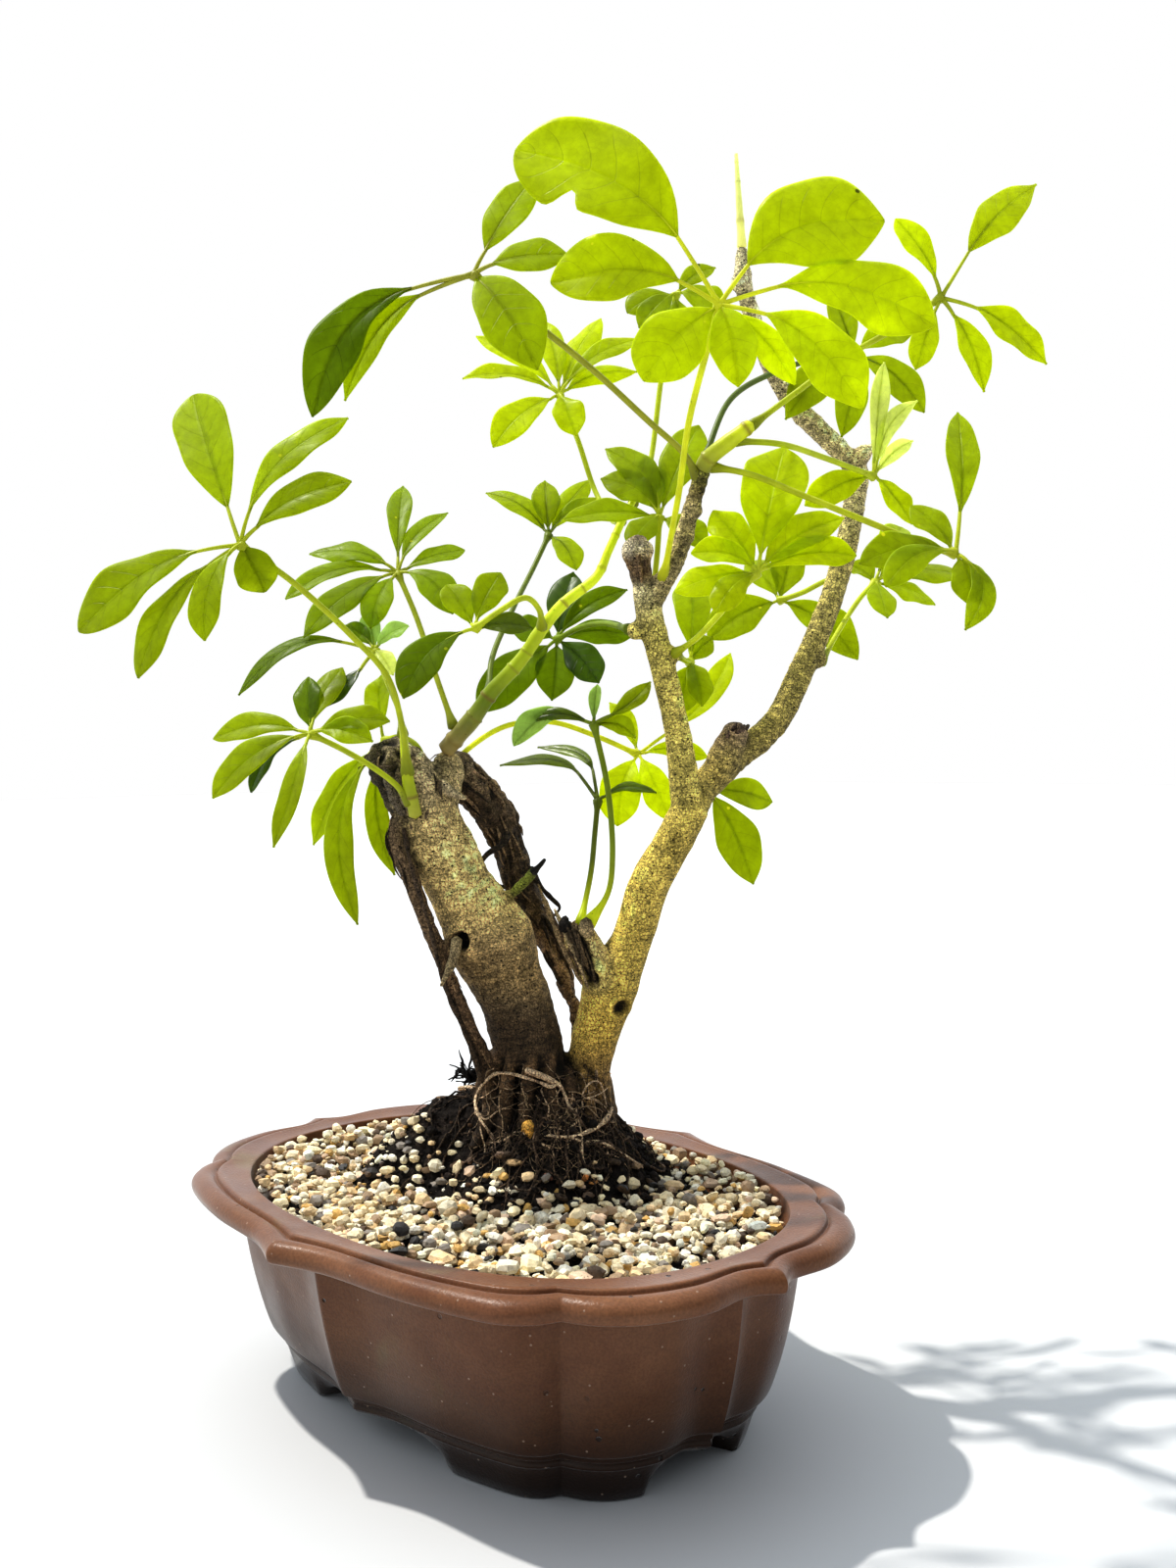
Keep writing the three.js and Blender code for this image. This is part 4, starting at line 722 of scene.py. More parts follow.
# Sections of the pot: rows of inset, height and share of the oval, from the plinth over the lip to the
# inside floor, and of the foot from the underside out to the plinth
OUTSIDE = [[25, 9, 0], [24.6, 9.3, 0], [24.7, 10.4, 0], [25.1, 10.8, 0], [24.4, 11.2, 0], [24.1, 12.5, 0],
           [23.2, 13, 0], [21.9, 13.3, 0], [21.3, 14.2, 0], [19.6, 19, 0], [17.6, 26, 0], [15.8, 34, 0],
           [14.4, 43, 0], [13.6, 49.5, 0], [13.2, 51, 0], [10.5, 51.7, 0], [6, 51.9, 0], [2.6, 52, 0],
           [0.6, 52.7, 0], [0, 54.4, 0], [0.3, 56, 0], [1.4, 57.3, 0], [3.2, 58, 0], [0, 57.9, 0.32],
           [0, 57.3, 0.38], [0, 57, 0.405], [0, 57.1, 0.42], [0, 58.1, 0.44], [0, 58.4, 0.47],
           [0, 58.4, 0.52], [0, 58.2, 0.6], [0, 57.9, 0.8], [0, 57.9, 0.96], [0, 57.8, 0.985],
           [0, 57.5, 1], [0, 56.6, 1], [0.4, 54.5, 1], [5.2, 48.5, 1], [9, 31, 1], [13, 19, 1],
           [18, 15, 1]]
FOOT = [[60, 9, 0.3], [44, 9, 0.3], [37.5, 8.8, 0.3], [37, 8.2, 0.3], [37, 4, 0.3], [37, 0.5, 0.3],
        [36, 0, 0.3], [29.2, 0, 0], [28, 0.6, 0], [27, 3.5, 0], [26, 6.5, 0], [25.3, 8.6, 0]]


def build_pot():
    """The pot as one closed sheet: the underside, the foot ring with arches that rise by the root of
    1 - (x / half length)^4 on each side, plinth, body, lip, wall and floor; then two drain holes."""
    plan = pot_plan(11)
    outer, foot = pot_rings(plan, rounded(OUTSIDE, 2)), pot_rings(plan, FOOT)
    x, y = plan[:, 0], plan[:, 1]
    arch = np.sqrt(np.clip(np.maximum(1 - (x / ARCH_L) ** 4, 1 - (y / ARCH_W) ** 4), 0, 1)) * ARCH_RISE
    arch *= (np.abs(x) < ARCH_L) | (np.abs(y) < ARCH_W)
    low = foot[..., 2] < 8
    foot[..., 2] = np.where(low, arch + foot[..., 2] / PLINTH * (PLINTH - arch), foot[..., 2])
    rings = np.concatenate([foot, outer])
    lumps = noise(rings, 24, 3) * 0.22 + noise(rings, 9, 4) * 0.07
    level = smoothstep(9, 14, rings[..., 2]) * smoothstep(58.6, 57, rings[..., 2])
    away = unit(rings * [1, 1, 0])
    rings = rings + away * (lumps * level)[..., None]
    points = np.vstack([rings.reshape(-1, 3), [[0, 0, FLOOR_UNDER], [0, 0, FLOOR_TOP]]])
    pot = shape(points, capped(len(rings), len(plan)))
    pot = add_piece("clay_pot", [pot], [CLAY], ["pot"], sharp=50)
    turn = np.arange(DRAIN_SIDES) / DRAIN_SIDES * 2 * np.pi
    drill = np.column_stack([directions(turn), 0 * turn]) * DRAIN_RADIUS
    for x in (-DRAIN_X, DRAIN_X):
        ends = [[x, 0, 4], [x, 0, 22]]
        points = np.vstack([drill + ends[0], drill + ends[1], ends])
        cutter = add_piece("drill", [shape(points, capped(2, DRAIN_SIDES))], [], stage=True)
        cut = pot.modifiers.new("hole", "BOOLEAN")
        cut.operation, cut.solver, cut.object = "DIFFERENCE", "EXACT", cutter
        drilled = worked_out(pot)
        pot.modifiers.clear()
        pot.data = drilled
        bpy.data.objects.remove(cutter)


# Soil and gravel

# Surfaces that loose things are laid on
SURFACES = []
# Humps of the soil, the mound first: middle, radius, rise and power, and the radius left bare of pebbles
HUMPS = [(MOUND_CENTRE, 44, 28, 1.65, 32.5), (spot([560, 1110, 2])[:2], 24, 9, 2.0, 0),
         (spot([448, 1120, -8])[:2], 27, 14, 1.4, 13), (spot([404, 1150, 2])[:2], 21, 8, 1.5, 3),
         (spot([270, 1198, 28])[:2], 9, 1.5, 1.5, 7.5)]


def ground(x, y):
    """Height of the soil: level, with humps of rise times (1 - reach^2)^power."""
    height = SOIL_LEVEL + 0 * x
    for middle, radius, rise, power, _ in HUMPS:
        reach = np.hypot(x - middle[0], y - middle[1]) / radius
        height = height + rise * np.maximum(0, 1 - reach * reach) ** power
    return height


def crumbs(points):
    """Unevenness of the soil: soft lumps and two sizes of crumbs, from noise."""
    return (noise(points, 9, 11) * 1.3 + noise(points, 4.5, 15) * 1.4 + np.abs(noise(points, 2.6, 12)) * 1.9
            + np.abs(noise(points, 1.2, 13)) * 1.0 - 0.8)


def on_ground(places):
    """Places x, y with the height of the soil there, and that height."""
    height = ground(*places.T)
    return np.column_stack([places, height]), height


def build_soil():
    """Soil as a closed sheet of turned rings round the mound: out to the pot's wall on top, down the
    wall, and back along the floor, which steps up over the drainage screens."""
    ways = directions(np.arange(SOIL_SIDES) / SOIL_SIDES * 2 * np.pi)
    low, high = np.zeros((SOIL_SIDES, 1)), np.full((SOIL_SIDES, 1), 160.0)
    for _ in range(30):
        middle = (low + high) / 2
        inside = oval_measure(*(MOUND_CENTRE + middle * ways).T)[:, None] < 1 - SOIL_INSET / OPENING_W
        low, high = np.where(inside, middle, low), np.where(inside, high, middle)
    edge = MOUND_CENTRE + low * ways
    share = np.linspace(0, 1, SOIL_RINGS + 1)[1:, None, None]
    top = MOUND_CENTRE + (edge - MOUND_CENTRE) * share
    points = np.dstack([top, ground(top[..., 0], top[..., 1])])
    hump = smoothstep(SOIL_LEVEL, SOIL_LEVEL + 6, points[..., 2])
    points[..., 2] += crumbs(points) * smoothstep(1, 0.93, share[..., 0]) * (0.35 + 0.65 * hump)
    oval = edge / (1 - SOIL_INSET / OPENING_W)
    walls = [np.dstack([oval[None] * (1 - np.array([inset / OPENING_L, inset / OPENING_W])),
                        [[z] * SOIL_SIDES]])
             for inset, z in ((SOIL_INSET, 48.4), (9.4, 31), (13.4, 22), (18.4, SOIL_FOOT))]
    floor = walls[-1][..., :2] * np.linspace(0.98, 0.02, FLOOR_RINGS)[:, None, None]
    over = (np.abs(np.abs(floor[..., 0]) - DRAIN_X) < SCREEN_HALF) & (np.abs(floor[..., 1]) < SCREEN_HALF)
    rings = np.concatenate([points, *walls, np.dstack([floor, np.where(over, SCREEN_COVER, SOIL_FOOT)])])
    poles = [[*MOUND_CENTRE, ground(*MOUND_CENTRE) + 1], [0, 0, SOIL_FOOT]]
    points = np.vstack([rings.reshape(-1, 3), poles])
    dark = 0.5 + 0.5 * noise(points, 7, 14)[:, None]
    tint = np.array([0.008, 0.006, 0.005]) + dark * np.array([0.014, 0.009, 0.006])
    soil = shape(points, capped(len(rings), SOIL_SIDES), tint)
    add_piece("potting_soil", [soil], [SOIL], ["soil"])
    quads = grid_quads(SOIL_RINGS, SOIL_SIDES)
    SURFACES.append(BVHTree.FromPolygons(rings[:SOIL_RINGS].reshape(-1, 3).tolist(), quads.tolist()))


def turned(points, a, b, angle):
    """Points of many bodies, each body turned by its own angle in the plane of two axes."""
    points = points.copy()
    c, s = np.cos(angle)[:, None], np.sin(angle)[:, None]
    points[..., a], points[..., b] = (points[..., a] * c - points[..., b] * s,
                                      points[..., a] * s + points[..., b] * c)
    return points


def stones(centres, sizes, tints, rng, flat=0.65, corners=7):
    """Pebbles: the 26 points of a cube's sides on a ball, each drawn in to the nearest of some random
    planes, then stretched, tipped and turned at random."""
    cube = np.array([c for c in np.ndindex(3, 3, 3) if c != (1, 1, 1)]) - 1.0
    number = {tuple(row): i for i, row in enumerate(cube.astype(int))}
    quads = []
    for axis, end, a, b in np.ndindex(3, 2, 2, 2):
        end = 2 * end - 1
        square = [np.insert([a - 1 + i, b - 1 + j], axis, end) for i, j in ((0, 0), (1, 0), (1, 1), (0, 1))]
        quads.append([number[tuple(corner)] for corner in square[::end * (1 - 2 * (axis == 1))]])
    ball = unit(cube)
    count = len(centres)
    planes = unit(rng.normal(size=(count, corners, 3)))
    limits = rng.uniform(0.54, 0.92, (count, 1, corners))
    facing = np.einsum("pk,nck->npc", ball, planes)
    reach = np.minimum(1, np.min(np.where(facing > 0.1, limits / np.maximum(facing, 0.1), 9), -1))
    stretch = np.stack([rng.uniform(0.9, 1.25, count), rng.uniform(0.75, 1, count),
                        rng.uniform(flat - 0.12, flat + 0.15, count)], -1)
    points = ball * reach[..., None] * stretch[:, None] * sizes[:, None, None]
    points = turned(points, 1, 2, rng.normal(0, 0.4, count))
    points = turned(points, 0, 1, rng.uniform(0, 2 * np.pi, count))
    points += centres[:, None]
    return shape(points, [repeated(np.array(quads), count, 26)], np.repeat(tints, 26, 0))


# Colours of the pebbles, and the share of each
STONE_TINTS = np.array([[0.96, 0.8, 0.52], [0.98, 0.88, 0.66], [0.98, 0.92, 0.78], [0.82, 0.6, 0.34],
                        [0.7, 0.43, 0.13], [0.4, 0.27, 0.16], [0.3, 0.26, 0.22], [0.12, 0.075, 0.045],
                        [0.03, 0.026, 0.024], [0.88, 0.64, 0.45]])
STONE_SHARES = np.array([0.25, 0.2, 0.11, 0.12, 0.06, 0.07, 0.05, 0.05, 0.04, 0.05])
# Layers of pebbles: spacing, rise, share of the places taken, and size as a share of the usual
STONE_LAYERS = ((3.3, 0.4, 0.9, 1), (3.9, 2.5, 0.56, 1), (2.6, 1.4, 0.2, 0.6))


def scattered(spacing, rng, jitter=0.32):
    """Places on a hexagonal net over the pot, each shifted at random."""
    rows, columns = np.meshgrid(np.arange(-60, 61), np.arange(-60, 61), indexing="ij")
    x = (columns + 0.5 * (rows % 2)) * spacing
    y = rows * spacing * 0.866
    return np.stack([x.ravel(), y.ravel()], -1) + rng.uniform(-jitter, jitter, (x.size, 2)) * spacing


def bare(places):
    """Distance of places outside the edge of the bare mound, whose radius swings with the turn."""
    away = np.full(len(places), 99.0)
    for middle, _, _, _, edge in HUMPS:
        dx, dy = (places - middle).T
        turn = np.arctan2(dy, dx)
        swing = 1 + 0.09 * np.sin(2 * turn + 0.6) + 0.06 * np.sin(5 * turn)
        away = np.minimum(away, np.hypot(dx, dy) - edge * swing)
    return away


def sight(trees, places):
    """Distances in front of the trunk's plane at which the sight lines through picture places meet the
    nearest of some surfaces."""
    ends = spot(np.column_stack([places[:, :2], np.zeros(len(places))]))
    near = np.full(len(places), -60.0)
    for i, end in enumerate(ends):
        for tree in trees:
            hit = tree.ray_cast(Vector(EYE), Vector(end - EYE))[0]
            if hit is not None:
                near[i] = max(near[i], TRUNK_REACH - (np.array(hit) - EYE) @ AHEAD)
    return near


def build_gravel():
    """Loose layers of pebbles over the soil, the third one of small pebbles in the gaps: from the bare
    mound, with a few stray ones on its foot, to the wall, where they lie a little higher at the back."""
    rng = np.random.default_rng(61)
    lots = []
    for spacing, rise, share, scale in STONE_LAYERS:
        places = scattered(spacing, rng)
        size = np.clip(np.exp(rng.normal(0.56, 0.3, len(places))), 0.9, 3.0) * scale
        away = bare(places)
        inside = oval_measure(*places.T) < 1 - (0.5 + size * 0.7) / OPENING_W
        kept = inside & (rng.random(len(places)) < share * smoothstep(-9, 2.5, away) ** 1.5)
        places, size, away = places[kept], size[kept], away[kept]
        level = np.maximum(GRAVEL_LEVEL - 1.2, ground(*places.T) - 0.6)
        back = smoothstep(-60, 10, places @ AHEAD[:2])
        level += 2.6 * smoothstep(0.7, 0.95, oval_measure(*places.T)) * back
        z = level + rise + rng.uniform(-0.7, 0.7, len(places))
        lots.append((np.column_stack([places, z]), size))
    centres = np.vstack([places for places, _ in lots])
    sizes = np.concatenate([size for _, size in lots])
    tints = STONE_TINTS[rng.choice(len(STONE_TINTS), len(centres), p=STONE_SHARES)]
    tints = np.minimum(tints * rng.uniform(0.78, 1.1, (len(centres), 1)), 0.98)
    add_piece("pebbles", [stones(centres, sizes, tints, rng)], [STONE], ["gravel"], sharp=30)


# Flat bits of bark on the ground: picture place, half length and colour
CHIPS = [[598, 1200, 2.4, 0.42, 0.17, 0.05], [606, 1206, 1.8, 0.5, 0.24, 0.08],
         [560, 1203, 2, 0.2, 0.09, 0.06], [637, 1220, 3, 0.13, 0.08, 0.045],
         [648, 1192, 2.6, 0.15, 0.1, 0.06], [626, 1188, 2.6, 0.09, 0.06, 0.04],
         [514, 1182, 3, 0.1, 0.07, 0.05], [524, 1188, 2.2, 0.22, 0.15, 0.08],
         [474, 1112, 2.4, 0.4, 0.24, 0.12], [452, 1120, 2.2, 0.12, 0.08, 0.05],
         [436, 1140, 2.6, 0.07, 0.05, 0.035], [400, 1152, 2.6, 0.16, 0.1, 0.06],
         [572, 1222, 2.4, 0.1, 0.07, 0.05], [470, 1188, 2.4, 0.16, 0.1, 0.06],
         [664, 1208, 2.2, 0.12, 0.08, 0.05]]


def build_crumbs():
    """Loose black crumbs and bits of bark on the mound and between the pebbles near it."""
    rng = np.random.default_rng(62)
    places = scattered(2.1, rng, 0.5)
    away = bare(places)
    kept = (rng.random(len(places)) < 0.75 * smoothstep(12, 0, away)) & (
        oval_measure(*places.T) < 1 - 5 / OPENING_W)
    places = places[kept]
    size = np.clip(np.exp(rng.normal(-0.35, 0.45, len(places))), 0.35, 2.3)
    rests, height = on_ground(places)
    z = height + crumbs(rests) * 0.7 + size * 0.3
    z = np.where(bare(places) > 0, np.maximum(z, GRAVEL_LEVEL + 0.4), z)
    tint = np.array([0.014, 0.01, 0.008]) * rng.uniform(0.6, 2.6, (len(places), 1))
    brown = rng.random(len(places)) < 0.12
    tint[brown] = np.array([0.09, 0.05, 0.028]) * rng.uniform(0.5, 1.5, (brown.sum(), 1))
    chips = np.array(CHIPS)
    rests = spot(np.column_stack([chips[:, :2], sight(SURFACES, chips) + 0.5]))
    high = np.maximum(rests[:, 2], GRAVEL_LEVEL + 3)
    rests[:, 2] = np.where(bare(rests[:, :2]) > -2, high, rests[:, 2] + 0.6)
    add_piece("soil_crumbs", [stones(np.column_stack([places, z]), size, tint, rng, 0.7, 6),
                              stones(rests, chips[:, 2], chips[:, 3:], rng, 0.3, 6)], [SOIL])


# Wood

WOOD_VOXEL, WOOD_ROUNDS = 0.72, 3
SMALL_LIMBS = ("aerialRoot", "cutTwig", "leftSurfaceRoot", "frontSurfaceRoot", "rightSurfaceRoot",
               "backSurfaceRoot", "farSurfaceRoot")
# Knobs and buds: picture place, distance in front and radius
KNOBS = [[466, 962, 12, 4.6], [636, 1028, 1, 3.2], [648, 644, 19, 2.9], [646, 646, 20, 1.7],
         [684, 668, 17, 3], [836, 674, -13, 2.6], [812, 702, -11, 2.4], [881, 464, -21, 3.3],
         [887, 459, -21, 2.4], [755, 288, 3, 3], [761, 280, 2, 2.4], [800, 398, -10, 3],
         [820, 426, -13, 3.2], [845, 448, -18, 3.2], [776, 352, -5, 2.7], [868, 534, -20, 3.5],
         [440, 838, 12, 5.5], [452, 828, 10, 4.4], [664, 606, 20, 3.2], [700, 548, 30, 2.9],
         [690, 572, 26, 3], [708, 520, 34, 2.6]]

# Rings along a limb: pitch and height in millimetres, and how rough its bark is
RINGS = {"leaningTrunk": (3.4, 0.12, 0.6), "cutStump": (3.2, 0.2, 0.8), "trunkShoulder": (3, 0.1, 0.6),
         "aerialRoot": (3, 0.08, 0.2), "oldRoot": (2.6, 0.15, 1.9), "uprightTrunk": (5.5, 0.05, 0.3),
         "brokenStub": (3, 0.05, 0.5), "middleBranch": (5.2, 0.1, 0.2), "middleShoot": (2.3, 0.2, 0.3),
         "rightBranch": (3.4, 0.13, 0.3), "cutStub": (2.4, 0.12, 0.5)}

# Bark colours down the picture: rows of v and a colour. The brightest rows, at or above 1, on the leaning
# trunk's upper stretch and the right branch's upper part, are partly painted light.
TINTS = {
    "leaningTrunk": [[812, 0.66, 0.5, 0.25], [845, 1, 0.75, 0.33], [885, 1.25, 0.93, 0.38],
        [925, 1.05, 0.77, 0.31], [960, 0.54, 0.38, 0.17], [1000, 0.48, 0.33, 0.145],
        [1025, 0.22, 0.155, 0.082], [1045, 0.13, 0.085, 0.045], [1100, 0.085, 0.055, 0.03],
        [1180, 0.04, 0.026, 0.016]],
    "cutStump": [[755, 0.54, 0.43, 0.26], [790, 0.64, 0.5, 0.29], [840, 0.66, 0.51, 0.26]],
    "trunkShoulder": [[765, 0.52, 0.41, 0.2], [790, 0.66, 0.51, 0.28], [830, 0.7, 0.55, 0.29]],
    "aerialRoot": [[820, 0.14, 0.095, 0.055], [900, 0.2, 0.13, 0.07], [1000, 0.17, 0.105, 0.055],
        [1110, 0.13, 0.08, 0.045]],
    "oldRoot": [[780, 0.24, 0.17, 0.1], [815, 0.15, 0.1, 0.06], [850, 0.11, 0.075, 0.045],
        [900, 0.1, 0.068, 0.04], [940, 0.16, 0.11, 0.06], [975, 0.32, 0.21, 0.12],
        [1010, 0.26, 0.17, 0.095], [1040, 0.15, 0.095, 0.05], [1085, 0.34, 0.21, 0.07]],
    "uprightTrunk": [[830, 0.75, 0.58, 0.14], [900, 0.92, 0.69, 0.16], [1000, 1, 0.74, 0.17],
        [1055, 1, 0.7, 0.15], [1080, 0.64, 0.42, 0.12], [1100, 0.38, 0.23, 0.08], [1130, 0.2, 0.12, 0.05],
        [1150, 0.07, 0.045, 0.025]],
    "brokenStub": [[940, 0.5, 0.37, 0.17], [965, 0.8, 0.62, 0.27], [990, 0.92, 0.72, 0.24]],
    "middleBranch": [[546, 0.12, 0.08, 0.05], [555, 0.5, 0.42, 0.28], [562, 0.85, 0.76, 0.55],
        [568, 0.34, 0.22, 0.12], [594, 0.16, 0.1, 0.05], [602, 0.85, 0.74, 0.46], [614, 0.8, 0.67, 0.32],
        [640, 0.68, 0.56, 0.16], [700, 0.92, 0.75, 0.2], [830, 0.8, 0.64, 0.17]],
    "middleShoot": [[480, 0.3, 0.3, 0.06], [500, 0.26, 0.2, 0.07], [520, 0.6, 0.48, 0.24],
        [590, 0.7, 0.56, 0.28], [618, 0.8, 0.64, 0.3]],
    "rightBranch": [[254, 0.6, 0.52, 0.3], [290, 1, 0.84, 0.52], [400, 1.05, 0.86, 0.5],
        [480, 1, 0.8, 0.44], [520, 0.66, 0.56, 0.28], [560, 0.58, 0.48, 0.17], [700, 0.46, 0.37, 0.11],
        [760, 0.52, 0.41, 0.12], [830, 0.72, 0.57, 0.17]],
    "cutStub": [[738, 0.24, 0.17, 0.11], [746, 0.4, 0.28, 0.16], [760, 0.42, 0.31, 0.15],
        [768, 0.56, 0.43, 0.15], [800, 0.62, 0.48, 0.14]],
    "cutTwig": [[886, 0.045, 0.045, 0.03], [896, 0.3, 0.34, 0.05], [920, 0.36, 0.38, 0.08]],
}
for limb_name in ("ridge5", "ridge6", "ridge8", "rightSurfaceRoot", "farSurfaceRoot"):
    TINTS[limb_name] = TINTS["uprightTrunk"]
ROOT_TINT = [[1060, 0.17, 0.1, 0.048], [1110, 0.125, 0.073, 0.035], [1150, 0.07, 0.042, 0.022],
             [1180, 0.03, 0.02, 0.014]]

# Marks on the wood, by their picture place
EYE_KNOT, HOLLOW, OCHRE_CLUMP = (636, 1029), (463, 963, 17), (541, 1150)
# Splinters: picture places of the feet and the tops (left and right end, height), distance in front,
# count, radius, colour and seed
SPLINTERS = [((603, 588), 992, (592, 572), 938, 11, 7, 0.5, [0.26, 0.18, 0.1], 12),
             ((648, 664), 592, (639, 663), 562, 22, 8, 0.55, [0.3, 0.19, 0.1], 30),
             ((738, 758), 752, (743, 764), 739, 7, 6, 0.9, [0.2, 0.13, 0.09], 40)]
# Old bark: limb, count, size, colour and seed, then the stretch of the limb where it isn't all of it
FIBRES = [("oldRoot", 110, 0.5, [0.17, 0.115, 0.068], 60, 0.05, 0.8),
          ("cutStump", 46, 0.5, [0.2, 0.145, 0.085], 61), ("aerialRoot", 40, 0.26, [0.2, 0.13, 0.07], 62)]
# Loose twigs, strips and roots on the wood: knots, sides, steps, colour, unevenness and seed
TWIGS = [
    ([[466, 958, 19, 1.4], [464, 974, 20, 1.6], [458, 990, 20, 1.2], [450, 1006, 20, 0.4]], 7, 5,
      [0.42, 0.32, 0.17], 0.3, 1),
    ([[412, 846, 15, 0.7], [421, 888, 18, 0.6], [440, 950, 18, 0.6], [452, 1000, 16, 0.7],
      [478, 1062, 12, 0.8], [492, 1104, 10, 0.8]], 7, 8, [0.1, 0.066, 0.04], 0.4, 2),
    ([[519, 846, -9, 1.2], [512, 862, -6, 0.9], [497, 872, -4, 0.8], [490, 884, -3, 0.7],
      [498, 898, -3, 0.6], [516, 906, -4, 0.6]], 7, 6, [0.05, 0.036, 0.024], 0.5, 3),
    ([[541, 886, -13, 1.3], [552, 905, -11, 0.8], [562, 916, -10, 0.7], [571, 926, -10, 0.5],
      [566, 934, -11, 0.35]], 7, 6, [0.045, 0.032, 0.022], 0.5, 4),
    ([[444, 800, 10, 2], [453, 805, 11, 2.2], [464, 810, 12, 1.7], [475, 815, 12, 0.6]], 8, 6,
      [0.62, 0.5, 0.3], 0.4, 5),
    ([[544, 890, 11.5, 1.3], [551, 883, 13, 0.9], [556, 877, 14, 0.45]], 7, 5, [0.02, 0.018, 0.014], 0.4,
      6),
    ([[600, 954, 10, 1.6], [598, 946, 11, 1.7], [598, 939, 11, 1.4]], 8, 4,
      [[0.6, 0.46, 0.24], [0.45, 0.34, 0.18], [0.14, 0.1, 0.06]], 0.6, 7),
    ([[549, 902, -11, 0.5], [560, 930, -3, 0.7], [571, 958, 7, 0.75], [583, 984, 9.5, 0.7],
      [594, 1004, 9, 0.5]], 7, 6, [0.42, 0.29, 0.15], 0.6, 13),
    ([[566, 928, 2, 0.5], [578, 955, 9, 0.7], [590, 982, 11, 0.6], [600, 1008, 9, 0.5]], 7, 6,
      [0.62, 0.46, 0.25], 0.6, 14),
    ([[556, 918, -8, 0.4], [570, 948, 4, 0.6], [585, 975, 10.5, 0.6], [596, 998, 10, 0.4]], 7, 6,
      [0.16, 0.1, 0.055], 0.6, 15),
    ([[578, 948, 9, 2], [576, 941, 10, 1.9], [577, 936, 10, 1]], 7, 5, [0.02, 0.015, 0.012], 0.4, 8),
    ([[412, 776, 15, 1.6], [409, 800, 17, 1.5], [417, 826, 16, 1.2]], 8, 6, [0.26, 0.2, 0.14], 0.5, 10),
    ([[396, 784, 16, 1.5], [400, 806, 17, 1.7], [412, 830, 15, 1.4]], 8, 6, [0.2, 0.16, 0.11], 0.5, 11),
]


def fused(shapes, voxel, smoothing):
    """Shapes grown together: remeshed on cubes of side voxel, then each point moved halfway to the mean
    of its neighbours a few times. Returns points in millimetres and quads."""
    rough = add_piece("rough_wood", shapes, [], stage=True)
    remesh = rough.modifiers.new("grown_together", "REMESH")
    remesh.mode, remesh.voxel_size = "VOXEL", voxel * 0.001
    mesh = worked_out(rough)
    bpy.data.objects.remove(rough)
    points = (taken(mesh.vertices, "co", 3, np.float32).astype(float) - POT_PLACE) * 1000
    a, b = taken(mesh.edges, "vertices", 2).T
    quads = taken(mesh.loops, "vertex_index", 4)
    bpy.data.meshes.remove(mesh)
    number = len(points)
    near = np.bincount(a, minlength=number) + np.bincount(b, minlength=number)
    for _ in range(smoothing):
        total = [np.bincount(a, points[b, k], number) + np.bincount(b, points[a, k], number)
                 for k in range(3)]
        points = points * 0.5 + np.stack(total, -1) / near[:, None] * 0.5
    return points, quads


def round_points(values, quads, count):
    """Sums of values of the faces round each of count points."""
    total = [sum(np.bincount(quads[:, j], values[:, k], count) for j in range(4)) for k in range(3)]
    return np.stack(total, -1)


def outward(points, quads):
    """Directions out of a mesh at its points: the sum of the face normals round each."""
    a, b, c, d = (points[quads[:, j]] for j in range(4))
    return unit(round_points(np.cross(c - a, d - b), quads, len(points)))


def softened(values, quads, times):
    """Values of a mesh's points, moved a few times to the mean over the faces round each point."""
    share = np.bincount(quads.ravel(), minlength=len(values))[:, None]
    for _ in range(times):
        values = round_points(values[quads].mean(1), quads, len(values)) / share
    return values


def nearest_limb(points, samples):
    """For each point the limb sample whose surface, at its radius, lies nearest."""
    best = np.empty(len(points), int)
    for start in range(0, len(points), 4000):
        rows = points[start:start + 4000]
        gap = np.linalg.norm(rows[:, None] - samples[None, :, :3], axis=2) - samples[None, :, 3]
        best[start:start + 4000] = gap.argmin(1)
    return best


def fibres(rows, count, size, tint, seed, low=0.0, high=1.0):
    """Strips of old bark: thin ridges that lie along a limb, each over its own stretch of it and at its
    own turn round it, thinner towards both ends."""
    rng = np.random.default_rng(seed)
    line = limb_line(rows, 12)
    along = unit(np.gradient(line[:, :3], axis=0))
    side = unit(np.cross(along, AHEAD))
    table = np.hstack([line, side, np.cross(along, side)])
    share = np.linspace(0, 1, 14)
    begin = rng.uniform(low, high - 0.08, (count, 1))
    at = np.clip(begin + rng.uniform(0.04, 0.2, (count, 1)) * share, 0, high)
    turn = rng.uniform(0, 2 * np.pi, (count, 1)) + rng.normal(0, 0.4, (count, 1)) * share
    rests = blended(at, np.linspace(0, 1, len(line)), table)
    lie = rests[..., 4:7] * np.cos(turn)[..., None] + rests[..., 7:] * np.sin(turn)[..., None]
    reach = rests[..., 3] * (1.0 + 0.07 * rng.normal(size=(count, 1)))
    points = rests[..., :3] + lie * reach[..., None]
    points = points + lie * 0.7 * noise(points, 2.2, seed)[..., None]
    radii = size * rng.uniform(0.5, 1.5, (count, 1)) * (0.25 + 0.75 * np.sin(np.pi * share))
    return tubes(points, radii, 5, np.array(tint) * (0.2 + 2.6 * rng.random((count, 1, 1)) ** 1.7))


def seen_at(points, u, v, place):
    """The point nearest to the eye among those at a picture place."""
    far = (points - EYE) @ AHEAD + 1000 * (np.hypot(u - place[0], v - place[1]) > 3)
    return points[far.argmin()]


